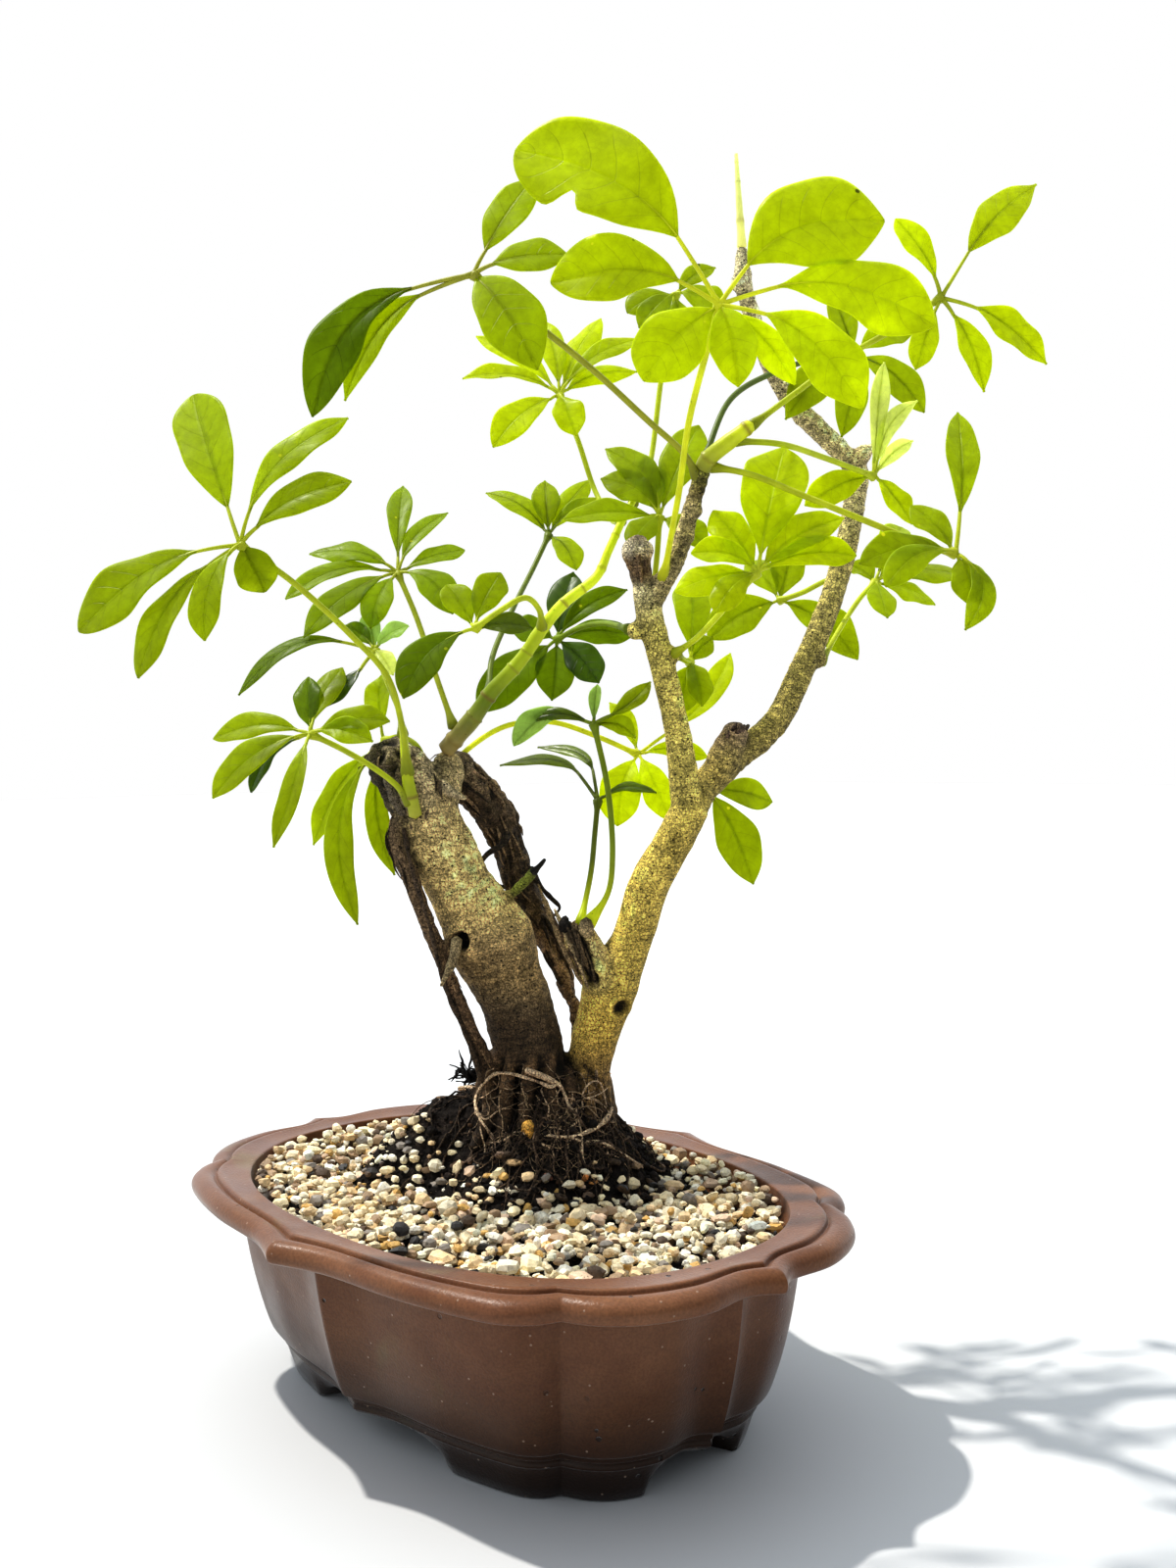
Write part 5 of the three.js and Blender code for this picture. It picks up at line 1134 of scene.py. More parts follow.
def splinters(feet, foot, tops, top, near, count, radius, tint, seed):
    """Torn or dried wood: thin uneven ridges side by side from a row of feet to a row of tops, each
    range of picture places given by its ends, that bulge to the front in their middle."""
    rng = np.random.default_rng(seed)
    rows = []
    for i, share in enumerate(np.linspace(0, 1, count)):
        bulge = near + 3.5 * math.sin(math.pi * share) - 3
        low = [feet[0] + (feet[1] - feet[0]) * share, foot + rng.uniform(-7, 7)]
        high = [tops[0] + (tops[1] - tops[0]) * share, top + rng.uniform(-3, 8)]
        mid = [(low[0] + high[0]) / 2 + rng.uniform(-3, 3), (low[1] + high[1]) / 2]
        size = radius * rng.uniform(0.7, 1.3)
        knots = [[*low, bulge - 1, size * 0.6], [*mid, bulge + 0.6, size], [*high, bulge, size * 0.45]]
        rows.append(twig(knots, 6, 6, np.array(tint) * rng.uniform(0.3, 1.5), rough=0.5, seed=seed + i))
    return rows


def wood_forms(rng):
    """Tubes of all limbs and balls for the knobs; and rows of place, radius, length along the limb and
    the limb's number."""
    forms, samples = [], []
    for i, (name, rows) in enumerate(LIMBS.items()):
        line = limb_line(rows, 12)
        forms.append(tubes(line[:, :3], line[:, 3], 10 if name in SMALL_LIMBS else 22))
        samples.append(np.column_stack([line, arc_length(line), np.full(len(line), i)]))
    for *place, radius in KNOBS:
        forms.append(stones(spot([place]), np.array([radius]), np.ones((1, 3)), rng, 0.95, 2))
    return forms, np.vstack(samples)


def loose_bark(points, rng):
    """Twigs and strips on the wood, splinters at its broken places, old bark along three limbs, and an
    ochre clump at the leaning trunk's foot."""
    loose = [twig(*rows) for rows in TWIGS]
    for rows in SPLINTERS:
        loose += splinters(*rows)
    loose += [fibres(LIMBS[name], *rows) for name, *rows in FIBRES]
    ochre = seen_at(points, *picture(points), OCHRE_CLUMP) - AHEAD * 0.6
    loose.append(stones(ochre + np.array([[0, 0, 0.9], [0.8, 0, -1.2], [-1, 0, -0.6]]),
                        np.array([2.3, 2.0, 1.6]),
                        np.array([[1.0, 0.56, 0.12], [0.85, 0.45, 0.09], [0.95, 0.5, 0.1]]), rng, 0.9, 9))
    return loose


def build_wood():
    """Trunks, branches and roots: tubes grown together, then moved outwards by soft lumps, bark roughness
    and rings along each limb, with a hollow, an eye-shaped knot, a strip of rot, a torn stump and a cut
    top. The colour of each limb gets painted shade in its crevices, in the hollow and on faces turned down,
    painted light on its ridges, painted light and shade on the torn stump's bumps and pits, and is darkened
    towards the soil."""
    names = list(LIMBS)
    rng = np.random.default_rng(5)
    forms, samples = wood_forms(rng)
    points, quads = fused(forms, WOOD_VOXEL, WOOD_ROUNDS)
    best = samples[nearest_limb(points, samples)]
    arc, limb = best[:, 4], best[:, 5].astype(int)
    looks = np.array([RINGS.get(name, (3, 0.12, 0.5)) for name in names])[limb]
    pitch, height, rough = looks.T
    away = outward(points, quads)
    u, v = picture(points)
    # Rings along each limb, and roughness drawn out along the upright
    wander = noise(points, 7, 21) * 0.35 + noise(points, 2.5, 22) * 0.15
    ring = 1 - np.abs(np.mod(arc / pitch + wander, 1) * 2 - 1)
    ring = smoothstep(0.25, 0.9, ring) - 0.5
    broken = 0.5 + 0.5 * noise(points, 5, 23)
    move = height * ring * (0.4 + broken)
    stretched = points * [1, 1, 0.45]
    move += rough * (noise(stretched, 3.4, 24) * 0.75 + noise(stretched, 1.5, 25) * 0.4)
    move += noise(points, 11, 26) * 0.5 * smoothstep(3, 9, best[:, 3])
    # The torn stump on the left, and the cut top of the middle branch
    stump = smoothstep(850, 815, v + (u - 400) * 0.6) * smoothstep(440, 425, u)
    ragged = noise(points, 3.2, 27) * 0.65 + noise(points, 1.4, 28) * 0.35
    move += stump * ragged * 1.5
    top = smoothstep(600, 585, v) * (np.abs(u - 651) < 20)
    move += top * noise(points * [1, 1, 0.25], 1.5, 29) * 0.8
    # The eye-shaped knot, and the strip of rot on the broken stub
    eye = np.linalg.norm(points - seen_at(points, u, v, EYE_KNOT), axis=1)
    move += 0.7 * np.exp(-((eye - 3.1) / 0.8) ** 2) - 1.6 * np.exp(-(eye / 2.2) ** 4)
    across = u - 583 - 20 * (v - 940) / 65
    rot = smoothstep(1.15, 0.85, np.abs(across + 4 * noise(points, 2.5, 34)) / (12 - 5 * (v - 940) / 65))
    rot = rot * smoothstep(1010, 1003, v) * smoothstep(925, 935, v) * (u < 625) * (away @ AHEAD < 0.2)
    strips = noise(np.column_stack([across / 2.6, v / 24, 0 * v]), 1, 33)
    move -= rot * (1.9 - 1.3 * strips)
    points = points + away * move[:, None]
    # The hollow in the leaning trunk
    inward = unit(AHEAD * 0.85 + RIGHT * 0.5 + UPWARD * 0.12)
    rays = points - spot(HOLLOW)
    depth = rays @ inward
    off = np.linalg.norm(rays - depth[:, None] * inward, axis=1)
    hollow = smoothstep(3.1, 1.9, off) * (depth < 5) * (depth > -6)
    points = points + inward * (hollow * 6.0)[:, None]
    # Colours: each limb's own, then painted shade and light by relief and by which way the faces turn, and
    # darker or lighter by patches and by the marks
    tint = np.empty((len(points), 3))
    for i, name in enumerate(names):
        rows = np.array(TINTS.get(name, ROOT_TINT))
        tint[limb == i] = blended(v[limb == i], rows[:, 0], rows[:, 1:])
    tint = softened(tint, quads, 9)
    sunk = np.sum((softened(points, quads, 7) - points) * away, -1)
    patchy = np.where(rough < 0.4, 0.12, 0.25)
    knobbly = (limb == names.index("rightBranch")) * smoothstep(560, 500, v)
    knobbly = knobbly + (limb == names.index("middleShoot"))
    end_grain = stump * smoothstep(414, 404, u + 4 * noise(points, 3, 37))
    low = smoothstep(14, 0, points[:, 2] - ground(points[:, 0], points[:, 1]))
    # Painted shade and light among these factors: crevices darkened and ridges lightened, the torn stump
    # lightened on its bumps and darkened in its pits, and faces that turn down darkened
    for shade in (1 - 0.8 * smoothstep(0.0, 0.35, sunk) + 0.55 * smoothstep(0.0, 0.35, -sunk),
                  1 + patchy * (noise(points, 6, 31) + noise(points, 2.2, 32)),
                  1 - 0.3 * smoothstep(0.1, -0.5, ring) * np.minimum(1, height / 0.2),
                  1 - 0.36 * knobbly * smoothstep(0.15, 0.5, noise(points * [1, 1, 1.6], 1.2, 36)),
                  1 - 0.8 * end_grain, 1 + stump * 1.1 * ragged,
                  1 - 0.4 * smoothstep(0.05, -0.5, away[:, 2]), 1 - 0.45 * low):
        tint *= shade[:, None]
    strips = 0.02 + smoothstep(-0.15, 0.75, strips) * (1 - 0.6 * smoothstep(975, 1003, v))
    tint = tint * (1 - rot[:, None]) + rot[:, None] * np.array([0.5, 0.36, 0.2]) * strips[:, None]
    # Painted shade inside the trunk's hollow
    tint *= (1 - 0.93 * smoothstep(3.3, 2.4, off) * (depth > -2) * (depth < 12))[:, None]
    tint *= (1 - 0.93 * np.exp(-(eye / 2.7) ** 6) * (0.86 + 0.3 * noise(points, 1.0, 38)))[:, None]
    wood = shape(points, [quads], np.clip(tint, 0.003, 1.1))
    add_piece("trunks_and_roots", [wood, *loose_bark(points, rng)], [BARK], ["wood"])
    SURFACES.append(BVHTree.FromPolygons(points.tolist(), quads.tolist()))


# Fine roots

# Roots that lie on the mound as they show: rows of picture place and radius
LAID_ROOTS = [
    [[504, 1163, 0.5], [497, 1152, 0.5], [490, 1142, 0.45], [486, 1132, 0.45], [485, 1122, 0.45],
     [489, 1112, 0.5], [495, 1104, 0.5], [505, 1096, 0.5], [515, 1095, 0.5], [527, 1097, 0.5],
     [540, 1101, 0.5], [552, 1105, 0.5], [562, 1109, 0.55], [567, 1107, 0.5]],
    [[537, 1092, 0.8], [550, 1097, 0.85], [562, 1102, 0.75], [572, 1109, 0.55], [576, 1117, 0.5],
     [580, 1127, 0.45], [586, 1137, 0.4], [588, 1146, 0.3]],
    [[500, 1166, 0.25], [510, 1165, 0.3], [520, 1160, 0.3], [527, 1155, 0.32], [537, 1157, 0.35],
     [550, 1157, 0.35], [562, 1159, 0.35], [580, 1160, 0.4], [595, 1157, 0.5], [605, 1152, 0.7],
     [615, 1146, 0.8], [622, 1137, 0.75], [625, 1130, 0.5]],
    [[580, 1160, 0.35], [595, 1165, 0.4], [610, 1165, 0.4], [625, 1171, 0.4], [637, 1179, 0.4],
     [650, 1187, 0.35], [656, 1192, 0.2]],
    [[594, 1165, 0.3], [595, 1182, 0.28], [600, 1195, 0.27], [607, 1204, 0.27], [615, 1211, 0.22]],
    [[595, 1132, 0.25], [594, 1120, 0.26], [597, 1111, 0.26], [604, 1104, 0.28], [611, 1104, 0.28],
     [615, 1111, 0.28], [617, 1120, 0.26], [619, 1129, 0.22]],
    [[587, 1124, 0.2], [596, 1121, 0.22], [605, 1119, 0.22], [614, 1115, 0.2], [620, 1110, 0.15]],
    [[587, 1137, 0.3], [586, 1147, 0.28], [580, 1153, 0.28], [579, 1162, 0.25], [580, 1172, 0.2]],
    [[588, 1130, 0.24], [589, 1140, 0.26], [592, 1150, 0.26], [594, 1162, 0.25], [593, 1176, 0.2]],
    [[552, 1112, 0.2], [556, 1122, 0.2], [560, 1130, 0.2], [559, 1140, 0.16]],
    [[490, 1150, 0.25], [492, 1160, 0.25], [495, 1172, 0.22], [493, 1182, 0.16]],
    [[489, 1136, 0.3], [494, 1142, 0.3], [500, 1140, 0.25], [507, 1134, 0.2]],
    [[603, 1119, 0.18], [609, 1124, 0.18], [616, 1128, 0.18], [622, 1136, 0.16]],
    [[545, 1160, 0.2], [553, 1168, 0.2], [562, 1172, 0.2], [566, 1182, 0.16]],
    [[468, 1110, 0.5], [476, 1109, 0.55], [484, 1110, 0.4]],
]


def laid(rows):
    """A laid root in more places, each with the distance at which it rests on what is seen there; from
    place to place it sinks by 0.5 mm at most, so that it bridges hollows."""
    rows = np.asarray(rows, float)
    line = smooth_line(np.column_stack([rows[:, :2], 0 * rows[:, 0], rows[:, 2]]), 5)
    near = sight(SURFACES, line) + line[:, 3] * 0.7
    for _ in near:
        near[1:] = np.maximum(near[1:], near[:-1] - 0.5)
        near[:-1] = np.maximum(near[:-1], near[1:] - 0.5)
    return np.column_stack([line[:, :2], near, line[:, 3]])


def dark_rootlets():
    """Short dark roots on the left of the leaning trunk's foot, each with its own bend."""
    rng = np.random.default_rng(15)
    shapes = []
    for i in range(22):
        place = np.array([rng.uniform(474, 490), rng.uniform(1090, 1104)])
        heading, bend = rng.normal(3.9, 0.7), rng.normal(0, 0.35)
        knots = []
        for radius in (0.55, 0.5, 0.4, 0.3, 0.2):
            knots.append([*place, -5 + rng.uniform(-1.5, 1.5), radius * rng.uniform(0.5, 1.2)])
            place = place + directions(heading) * rng.uniform(3, 7)
            heading += bend + rng.normal(0, 0.4)
        shapes.append(twig(knots, 5, 3, [0.014, 0.011, 0.01], rough=0.4, seed=80 + i))
    return shapes


def clinging_roots():
    """Thin roots that wander down the picture over the wood and the mound seen there, by small random
    turns."""
    rng = np.random.default_rng(16)
    count, stations = 90, 22
    place = np.column_stack([rng.uniform(492, 625, count), rng.uniform(1090, 1176, count)])
    heading = rng.normal(1.45, 0.9, count)
    bend = rng.normal(0, 0.1, count)
    rows = np.empty((stations, count, 3))
    for i in range(stations):
        near = sight(SURFACES, place) + 0.25
        if i:
            near = rows[i - 1, :, 2] + np.clip(near - rows[i - 1, :, 2], -0.8, 3)
        rows[i] = np.column_stack([place, near])
        bend = bend * 0.5 + rng.normal(0, 0.22, count)
        heading = heading + bend + 0.06 * np.sin(1.5 - heading)
        place = place + directions(heading) * rng.uniform(2, 4.5, count)[:, None]
        place[:, 1] = np.clip(place[:, 1], 1086, 1205)
        below = place[:, 1] - 1090
        place[:, 0] = np.clip(place[:, 0], 498 - 0.3 * below, 612 + 0.3 * below)
    radius = rng.uniform(0.1, 0.24, count)
    tint = np.array([0.4, 0.28, 0.17]) * (0.12 + 2.0 * rng.random((count, 1, 1)) ** 2)
    return tubes(spot(rows).transpose(1, 0, 2), radius[:, None] * np.linspace(1, 0.5, stations), 5, tint)


def ground_roots():
    """Roots that start round the trunks, nearly half of them in front, and wander outwards over the
    ground, with hops of 2.2 mm x lift x sin^2."""
    rng = np.random.default_rng(17)
    count, stations = 110, 26
    turn = rng.uniform(0, 2 * np.pi, count)
    towards = np.arctan2(*(EYE[:2] - MOUND_CENTRE)[::-1])
    turn[:50] = towards + rng.normal(0, 0.75, 50)
    start = rng.uniform(12, 24, count)
    place = spot([[566, 1100, 0]])[0, :2] + directions(turn) * start[:, None]
    heading = turn + rng.normal(0, 1.0, count)
    bend = rng.normal(0, 0.2, count)
    step = rng.uniform(0.7, 1.5, count)
    lift = rng.uniform(0, 1, count)
    radius = rng.uniform(0.14, 0.42, count)
    line = np.empty((count, stations, 3))
    for i in range(stations):
        rests, height = on_ground(place)
        hop = np.sin(np.pi * i / (stations - 1) * (1 + 2 * lift)) ** 2 * 2.2 * lift + 0.35
        line[:, i] = np.column_stack([place, height + crumbs(rests) * 0.5 + hop + radius])
        bend = bend * 0.8 + rng.normal(0, 0.16, count)
        heading = heading + bend
        place = place + directions(heading) * step[:, None]
    tint = np.array([0.09, 0.058, 0.036]) * rng.uniform(0.25, 2.2, (count, 1, 1))
    return tubes(line, radius[:, None] * np.linspace(1, 0.45, stations), 5, tint)


def build_fine_roots():
    """Loose roots over the mound: a few laid as they show, and many by chance."""
    shapes = [twig(laid(rows), 6, 2, [0.85, 0.62, 0.4], 0.35, 40 + i) for i, rows in enumerate(LAID_ROOTS)]
    shapes += [*dark_rootlets(), clinging_roots(), ground_roots()]
    add_piece("fine_roots", shapes, [BARK])


# Green stems

# Colours of each stem from its foot to its tip, and its girth as a share of the radii in GREEN_STEMS
STEM_TINTS = {
    "green_stem_left": [[0.34, 0.26, 0.1], [0.18, 0.24, 0.012], [0.46, 0.53, 0.02], [0.66, 0.72, 0.04],
        [0.66, 0.72, 0.03], [0.62, 0.68, 0.02]],
    "green_tip_middle": [[0.28, 0.28, 0.04], [0.5, 0.54, 0.025], [0.7, 0.74, 0.03]],
    "green_tip_right": [[0.8, 0.78, 0.3], [0.9, 0.95, 0.4]],
    "green_shoot_stump": [[0.4, 0.4, 0.05], [0.42, 0.48, 0.02], [0.56, 0.62, 0.02], [0.56, 0.6, 0.02]],
}
STEM_SIZES = {"green_stem_left": [1.15, 1.05, 0.9, 0.68, 0.62], "green_tip_right": [0.9, 0.75, 0.6],
              "green_tip_middle": [1.1, 1.05, 1, 1], "green_shoot_stump": [1.1, 1.1, 1, 1]}


def build_green_stem(name):
    """A young stem: a tube whose radius swells in a narrow ring at each leaf scar, brown at the scars
    and greener towards its tip."""
    line = limb_line(GREEN_STEMS[name], 22)
    arc = arc_length(line)
    scar = np.exp(-((np.mod(arc / 9.5 + 0.9 * noise(line[:, :3], 13, 51), 1) - 0.5) / 0.05) ** 2)
    sizes = STEM_SIZES[name]
    girth = np.interp(arc / arc[-1], np.linspace(0, 1, len(sizes)), sizes)
    radii = line[:, 3] * girth * (1 + 0.13 * scar + 0.06 * noise(line[:, :3], 3, 52))
    greens = STEM_TINTS[name]
    tint = blended(arc / arc[-1] * (len(greens) - 1), np.arange(len(greens)), greens)
    scar = scar[:, None] * (0.35 + 0.4 * (noise(line[:, :3], 5, 53) > 0))[:, None]
    tint = tint * (1 - scar) + scar * np.array([0.2, 0.12, 0.03])
    add_piece("young_" + name, [tubes(line[:, :3], radii, 16, tint)], [STALK], [name])


# Leaves

ALONG, ACROSS = 34, 12
# The greens are partly each leaf's own tone and partly painted light and shade: the bright ones stand for
# leaves lit through from behind, the darkest for leaves in shade
GREENS = {"glow": (0.53, 0.62, 0.001), "mid": (0.33, 0.41, 0.001), "deep": (0.16, 0.24, 0.001),
          "fresh": (0.25, 0.34, 0.001), "dark": (0.05, 0.095, 0.002), "pale": (0.75, 0.82, 0.2),
          "olive": (0.13, 0.18, 0.002), "mint": (0.34, 0.5, 0.1)}
# Long stalks that differ from most: colour, how swollen the foot is, and the foot's colour if it differs
# top_left's darker stalk colour is painted shade
STALK_LOOKS = {"low_left": ((0.2, 0.26, 0.01), 1.5, (0.66, 0.72, 0.01)),
               "low_arched": ((0.12, 0.15, 0.012), 1, (0.55, 0.62, 0.01)),
               "top_left": ((0.3, 0.3, 0.03), 0.9), "left_upper": ((0.42, 0.45, 0.03), 0.9),
               "behind_upper_right": ((0.1, 0.14, 0.015), 0.8), "right_outer": ((0.52, 0.56, 0.02), 0.9),
               "centre_dark": ((0.2, 0.27, 0.01), 0.9), "far_left": ((0.5, 0.55, 0.02), 1.2),
               "top_front": ((0.62, 0.64, 0.02), 1.3), "centre_back": ((0.14, 0.18, 0.015), 0.8),
               "low_yellow": ((0.58, 0.6, 0.02), 0.85)}
# Forms of single leaflets that differ from the leaf's others, by their place in its list
LEAFLET_LOOKS = {
    "top_front": {0: dict(half=13.2, sway=0.1, bow=0.1, stalk=0.27, nick=0.5, nick_at=0.6, nick_side=-1,
        fold=0.1, twist=0, point=0.5, base=0.9), 1: dict(sway=0.1, stalk=0.26, point=0.6, twist=0),
        2: dict(stalk=0.06, half=8.8, sway=0.05),
        3: dict(half=12.5, sway=-0.15, twist=0, point=0.66, stalk=0.22),
        4: dict(sway=-0.12, half=8.8, stalk=0.26, twist=0, point=0.55),
        5: dict(stalk=0.26, half=7.6, point=0.7, twist=0, sway=-0.1), 6: dict(half=4.2, stalk=0.12),
        7: dict(half=6, stalk=0.06)},
    "top_left":
        {0: dict(half=7.4, sway=0.24, bow=0.02, green="deep", stalk=0.24, point=0.7, fold=0.5, twist=0.5),
        1: dict(half=5.2, sway=0.17, bow=0.02, point=0.9, green="mid", stalk=0.29, fold=0.4),
        2: dict(half=5.8), 3: dict(half=5.8, sway=-0.03, point=0.7), 4: dict(stalk=0.04, half=8.2)},
    "top_right": {0: dict(half=5.6, stalk=0.29, twist=0, point=1),
        1: dict(half=5.4, stalk=0.28, twist=0, point=0.95), 2: dict(half=4.6, stalk=0.22, point=1),
        3: dict(half=4.2, stalk=0.2), 4: dict(half=4, stalk=0.2)},
    "right_outer": {0: dict(half=5, point=0.8, stalk=0.24), 1: dict(half=3.6, sway=-0.2, stalk=0.14)},
    "right_pale": {0: dict(half=3.3, green="pale", fold=0.5), 1: dict(half=2.8, green="pale", sway=-0.12),
        2: dict(half=2.6, green="pale")},
    "far_left": {0: dict(half=8, point=0.5, base=0.8, stalk=0.22), 1: dict(half=5, sway=-0.1, stalk=0.18),
        2: dict(half=6.2, sway=-0.06, stalk=0.18), 3: dict(half=8.2, sway=0.06, point=0.55, stalk=0.22),
        4: dict(half=5.2, sway=0.1, stalk=0.22), 5: dict(half=4.8, sway=0.08, stalk=0.12),
        6: dict(half=6, stalk=0.05)},
    "left_hanging": {0: dict(half=4.6, sway=0.05, point=0.8), 1: dict(half=4.8, sway=0.13, point=0.8),
        2: dict(half=4, sway=0.08)},
    "left_young": {0: dict(green="mint", half=3.4), 1: dict(green="mint"),
        2: dict(green="deep", sway=0.2, half=3.6, stalk=0.2, bow=0.12), 3: dict(green="pale"),
        4: dict(green="dark", half=3.8, sway=-0.1, stalk=0.3), 5: dict(green="deep", half=3)},
    "left_lower": {2: dict(green="dark", half=3.2, sway=0.14), 0: dict(sway=0.1), 1: dict(sway=0.1),
        3: dict(sway=-0.06, half=3.6), 6: dict(green="deep")},
    "low_left": {0: dict(green="mint", half=4.6, sway=0.26, stalk=0.3, point=0.6, fold=0.5),
        1: dict(green="mint", half=2.6, fold=0.8), 2: dict(green="olive", half=2.4),
        3: dict(half=3.6, sway=0.12, stalk=0.24), 4: dict(half=3.2, sway=-0.16)},
    "low_arched": {0: dict(green="olive", half=2.6, sway=0.26, stalk=0.32, point=0.9),
        1: dict(green="olive", half=2.4, sway=0.2, stalk=0.3),
        2: dict(green="olive", half=2.2, sway=-0.2, stalk=0.14)},
    "low_yellow": {3: dict(half=4.4, sway=0.1, stalk=0.3, point=0.7), 4: dict(half=3.4),
        2: dict(half=3.6)},
    "left_arched": {3: dict(green="deep", sway=0.12), 2: dict(green="olive")},
    "left_upper": {i: dict(green="fresh") for i in range(8)},
    "centre_dark": {i: dict(green=("deep", "dark")[i % 3 == 1]) for i in range(7)},
}


def blades(hub, tips, face, form, waves, layer):
    """Leaflets of one leaf, all at once. The midrib runs from the hub to the tip, bowed up by
    bow x reach x sin(pi t^0.85) and sideways by sway; the half width is t^base (1 - t)^point over its
    peak, drawn in at the tip; across, the halves rise by the fold's angle, droop by curl x s^2 and
    ripple towards the margin, with a soft quilt between the side veins; a nick takes a bell-shaped bite
    out of one side; the whole turns by twist towards the tip. Returns the blade's middle surface, its
    outward directions, the midrib, the way up there, and the measures along and across."""
    flat = {key: value[:, None] for key, value in form.items()}
    deep = {key: value[:, None, None] for key, value in form.items()}
    reach = np.linalg.norm(tips - hub, axis=1)[:, None, None]
    axis = unit(tips - hub)[:, None]
    normal = unit(face - axis * np.sum(face * axis, -1, keepdims=True))
    side = np.cross(axis, normal)
    x = np.linspace(0, 1, ALONG)
    t = 1 - (1 - x) ** 1.7
    tau = deep["stalk"] + (1 - deep["stalk"]) * t[None, :, None]
    line = (hub + axis * reach * tau + normal * reach * deep["bow"] * np.sin(np.pi * tau**0.85)
            + side * reach * deep["sway"] * np.sin(np.pi * tau) + normal * layer[:, None, None])
    along = unit(np.gradient(line, axis=1))
    up = unit(normal - along * np.sum(normal * along, -1, keepdims=True))
    left = np.cross(along, up)
    angle = deep["twist"] * t[None, :, None]
    left, up = left * np.cos(angle) + up * np.sin(angle), up * np.cos(angle) - left * np.sin(angle)
    power, base = flat["point"], flat["base"]
    peak = base / (base + power)
    profile = t[None] ** base * (1 - t[None]) ** power / (peak**base * (1 - peak) ** power)
    profile = profile * (1 - 0.35 * t[None] ** 10)
    ripple = 1 + 0.035 * np.sin(2 * np.pi * (2.3 * t[None] + waves[:, :1]))
    half = np.maximum(flat["half"] * profile * ripple, 0.34)[..., None]
    even = np.linspace(-1, 1, ACROSS + 1)
    s = np.sin(np.linspace(-np.pi / 2, np.pi / 2, ACROSS + 1)) * 0.35 + even * 0.65
    out = np.abs(s)[None, None]
    bite = flat["nick"] * np.exp(-((t[None] - flat["nick_at"]) / 0.07) ** 2)
    bitten = s[None, None] * deep["nick_side"] > 0
    half = np.where(bitten, half * (1 - bite[..., None]), half)
    phase = np.where(s < 0, waves[:, 1:2], waves[:, 2:3])[:, None]
    crest = np.sin(2 * np.pi * (1.9 * t[None, :, None] + phase)) * out**2.5 * 0.1 * waves[:, 3:4, None]
    quilt = -np.cos(2 * np.pi * 6.5 * (t[None, :, None] - 0.2 * out**1.3)) * np.minimum(1, out * 4)
    quilt = quilt * (1 - out**3) * 0.05
    rise = half * (out * np.sin(deep["fold"]) - deep["curl"] * out**2 + crest) + quilt
    spread = half * s[None, None] * np.cos(deep["fold"])
    points = line[:, :, None] + left[:, :, None] * spread[..., None] + up[:, :, None] * rise[..., None]
    away = unit(np.cross(np.gradient(points, axis=2), np.gradient(points, axis=1)))
    return points, away, line, up, t, s


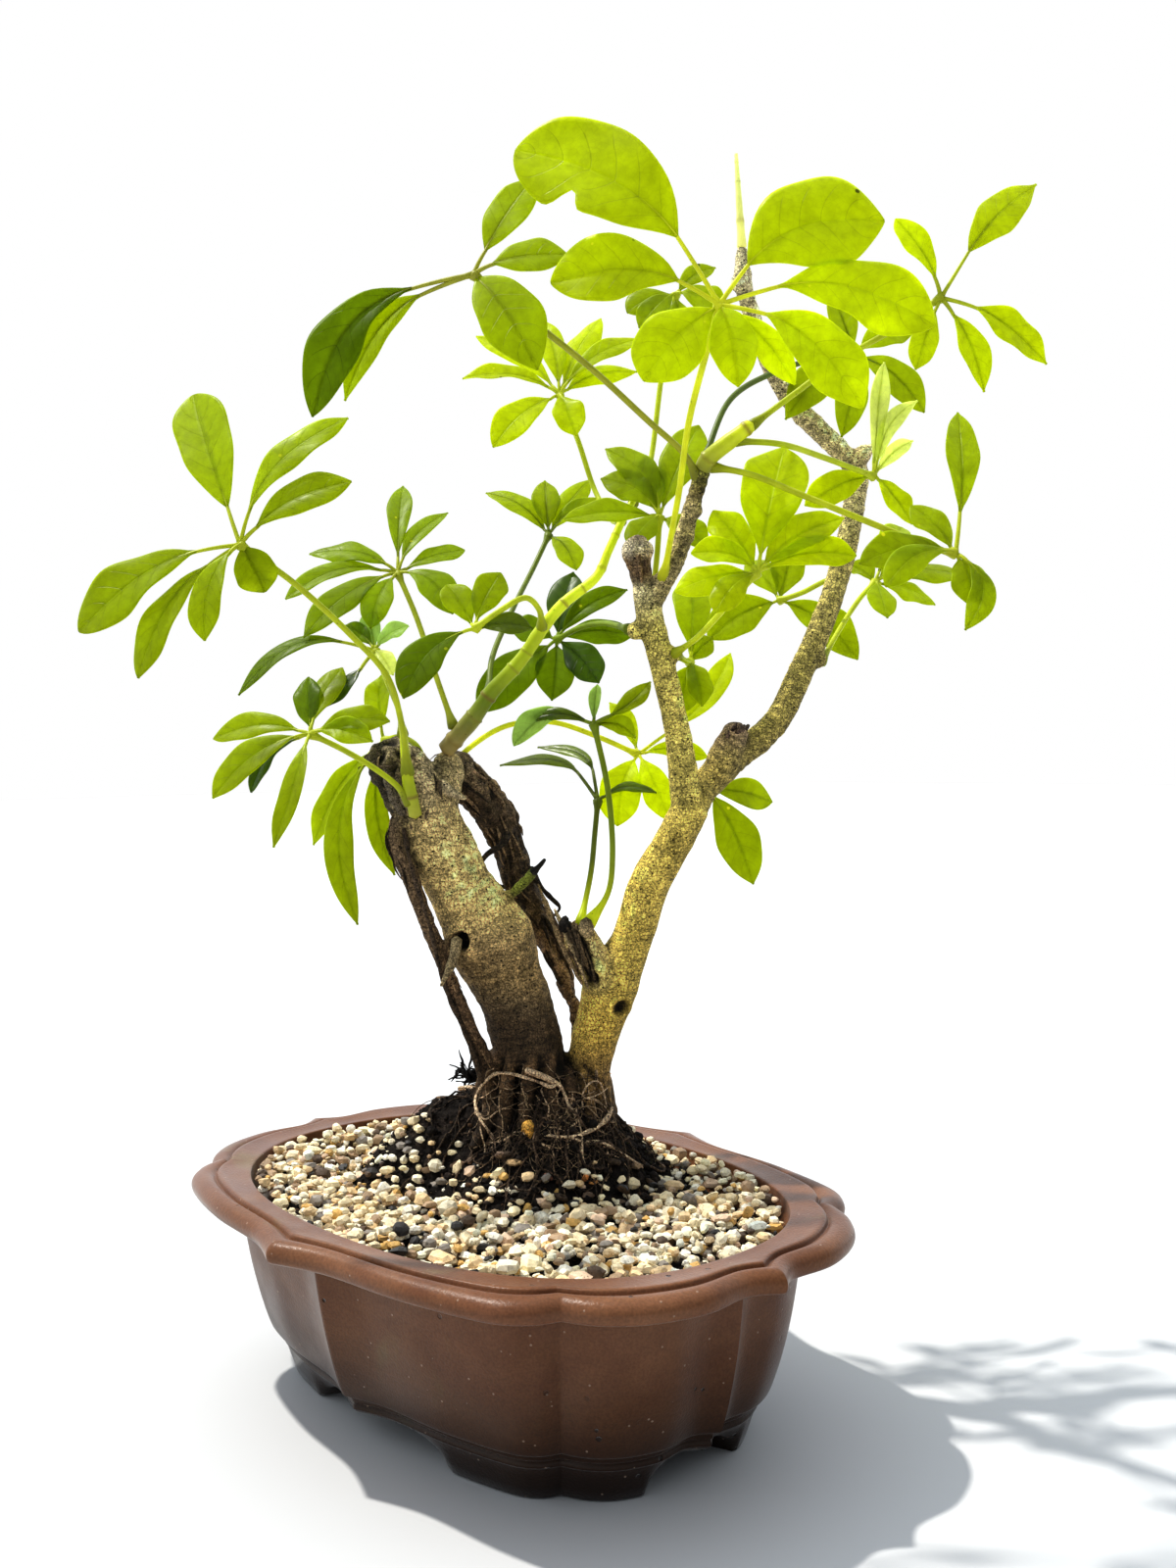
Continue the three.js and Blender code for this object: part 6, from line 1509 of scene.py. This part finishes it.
def build_leaf(short, green, begin, hub, facing, petiole, leaflets):
    """A compound leaf: the blades as closed thin sheets, their stalks running on as midribs under the
    blades, the hub and the long stalk with its swollen foot."""
    name = "leaf_" + short
    rng = np.random.default_rng(sum(ord(c) * (i + 3) for i, c in enumerate(name)))
    hub = np.array(hub, float)
    right, upper, near = facing
    face = unit(right * RIGHT + upper * UPWARD - near * AHEAD)
    rows = np.array([(row + [0])[:4] for row in leaflets], float)
    out_u, out_v = (rows[:, :2] - hub[:2]).T
    slope = -(right * out_u - upper * out_v) * (TRUNK_REACH - hub[2]) / FOCAL / near
    tips = spot(np.column_stack([rows[:, :2], hub[2] + slope + rows[:, 3]]))
    middle = spot(hub)
    count = len(rows)
    layer = np.where(np.arange(count) % 2, 0.55, -0.55)
    over = out_u / np.hypot(out_u, out_v)
    form = {"stalk": np.full(count, begin), "half": rows[:, 2] * 0.54,
            "bow": rng.uniform(0.04, 0.11, count), "sway": rng.normal(0, 0.02, count) - 0.07 * over,
            "fold": rng.uniform(0.1, 0.42, count), "curl": rng.uniform(0.02, 0.3, count),
            "twist": rng.normal(0, 0.12, count), "point": rng.uniform(0.62, 0.9, count),
            "nick": np.zeros(count), "nick_at": np.full(count, 0.7), "nick_side": np.ones(count),
            "base": rng.uniform(0.9, 1.15, count)}
    greens = [green] * count
    for i, look in LEAFLET_LOOKS.get(short, {}).items():
        greens[i] = look.get("green", green)
        for key in form.keys() & look.keys():
            form[key][i] = look[key]
    waves = np.column_stack([rng.random((count, 3)), rng.uniform(0.3, 1.3, count)])
    points, away, line, up, t, s = blades(middle, tips, face, form, waves, layer)
    out = np.abs(s)[None, None, :, None]
    thick = 0.21 - 0.12 * out**4
    ring = np.concatenate([points + away * thick, (points - away * thick)[:, :, ::-1]], 2)
    around = 2 * (ACROSS + 1)
    j = np.arange(ACROSS)
    caps = np.stack([j, j + 1, around - 2 - j, around - 1 - j], -1)
    last = (ALONG - 1) * around
    quads = np.vstack([grid_quads(ALONG, around), caps[:, ::-1], caps + last])
    colour = np.array([GREENS[look] for look in greens]) * rng.uniform(0.85, 1.12, (count, 1))
    through = np.sqrt(0.76 * np.clip(colour, 0, 0.9))[:, None, None]
    shade = 1 + 0.05 * noise(ring, 11, 71)[..., None]
    place = np.stack(np.meshgrid(t, np.concatenate([s, s[::-1]]) / 2 + 0.5, indexing="ij"), -1)
    place = np.broadcast_to(place, (count, ALONG, around, 2))
    dark = np.array([look in ("dark", "olive") for look in greens])
    shapes = [shape(ring[rows], [repeated(quads, rows.sum(), ALONG * around)],
                    (through * shade)[rows], place[rows], finish)
              for finish, rows in ((0, ~dark), (2, dark)) if rows.any()]
    start = np.linspace(0, 1, 7, endpoint=False)[None, :, None]
    first = line[:, :1] - up[:, :1] * 0.1
    bent = middle + (first - middle) * start + face * np.sin(np.pi * start) * 0.3
    rib = np.concatenate([bent, line - up * 0.16], 1)
    radii = np.concatenate([np.linspace(0.62, 0.5, 7), 0.48 - 0.36 * t])
    radii[0] = 0.9
    stalk_tint, foot, *foot_tint = STALK_LOOKS.get(short, ((0.46, 0.51, 0.02), 0.85))
    stalk_tint = np.array(stalk_tint) * rng.uniform(0.85, 1.15)
    foot_tint = np.array(foot_tint[0]) if foot_tint else stalk_tint * 0.55
    shapes.append(tubes(rib, radii, 6, stalk_tint, 1))
    knots = np.array([hub, *petiole], float)
    path = smooth_line(np.hstack([spot(knots), np.ones((len(knots), 1))]), 10)[:, :3]
    arc = arc_length(path)
    left = arc[-1] - arc
    radii = 0.82 + 0.75 * np.exp(-(arc / 1.9) ** 2) + foot * np.exp(-(left / (3.8 * foot)) ** 2)
    fade = np.exp(-(left / (6 + 8 * (foot_tint.max() > 0.5))) ** 2)[:, None]
    tint = stalk_tint * (1 - fade) + foot_tint * fade
    shapes.append(tubes(path, radii, 10, tint, 1))
    finishes = [BLADE, STALK, DARK_BLADE][:3 if dark.any() else 2]
    add_piece("umbrella_" + name, shapes, finishes, [name])


# Table, light and camera


def build_stage():
    """A wide level table that runs on to the horizon, a pale surrounding, and a soft sun from the
    upper left behind the tree."""
    reach = np.linspace(-6000, 6000, 25)
    points = np.dstack([*np.meshgrid(reach, reach, indexing="ij"), np.zeros((25, 25))])
    table = add_piece("table", [shape(points, [grid_quads(25, 25, False)])], [TABLE], stage=True).data
    if table.polygons[0].normal.z < 0:
        table.flip_normals()
    world = bpy.data.worlds.new("pale_room")
    world.use_nodes = True
    level = unit(AHEAD * [1, 1, 0])
    w = Nodes(world.node_tree)
    facing = w.add("VectorMath", w.add("TexCoord", out="Generated"),
                   level * 0.82 - RIGHT * 0.48 + [0, 0, 0.3], out="Value", operation="DOT_PRODUCT")
    room = w.add("Background", (0.87, 0.935, 1.0, 1), w.add("MapRange", facing, -0.8, 0.45, 0.3, 1.38))
    seen = w.add("Background", (1, 1, 1, 1))
    w.add("OutputWorld", w.add("MixShader", w.add("LightPath", out="Is Camera Ray"), room, seen))
    scene = bpy.context.scene
    scene.world = world
    sun = bpy.data.lights.new("window_light", "SUN")
    sun.energy, sun.angle, sun.color = 3.6, math.radians(1.6), (1.0, 0.97, 0.91)
    lamp = bpy.data.objects.new("window_light", sun)
    travel = Vector(RIGHT * 0.47 - level * 0.2 + [0, 0, -1])
    lamp.rotation_euler = travel.to_track_quat("-Z", "Y").to_euler()
    camera = bpy.data.cameras.new("camera")
    camera.sensor_fit, camera.sensor_height, camera.lens = "VERTICAL", 36, 33.75
    camera.clip_start, camera.clip_end = 0.01, 60
    stand = bpy.data.objects.new("camera", camera)
    across = RIGHT * math.cos(ROLL) + UPWARD * math.sin(ROLL)
    over = UPWARD * math.cos(ROLL) - RIGHT * math.sin(ROLL)
    place = np.column_stack([across, over, -AHEAD, EYE * 0.001 + POT_PLACE])
    stand.matrix_world = Matrix([*place.tolist(), [0, 0, 0, 1]])
    for thing in (lamp, stand):
        scene.collection.objects.link(thing)
    scene.camera = stand
    scene.view_settings.view_transform = "Standard"
    scene.view_settings.gamma = 0.86


for side in ("left", "right"):
    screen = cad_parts["drainage_screen_" + side]
    screen.data.materials.clear()
    screen.data.materials.append(SCREEN)

build_stage()
build_pot()
build_soil()
build_gravel()
build_crumbs()
build_wood()
build_fine_roots()
for stem_name in GREEN_STEMS:
    build_green_stem(stem_name)
for leaf_name, leaf_rows in LEAVES.items():
    build_leaf(leaf_name, *leaf_rows)
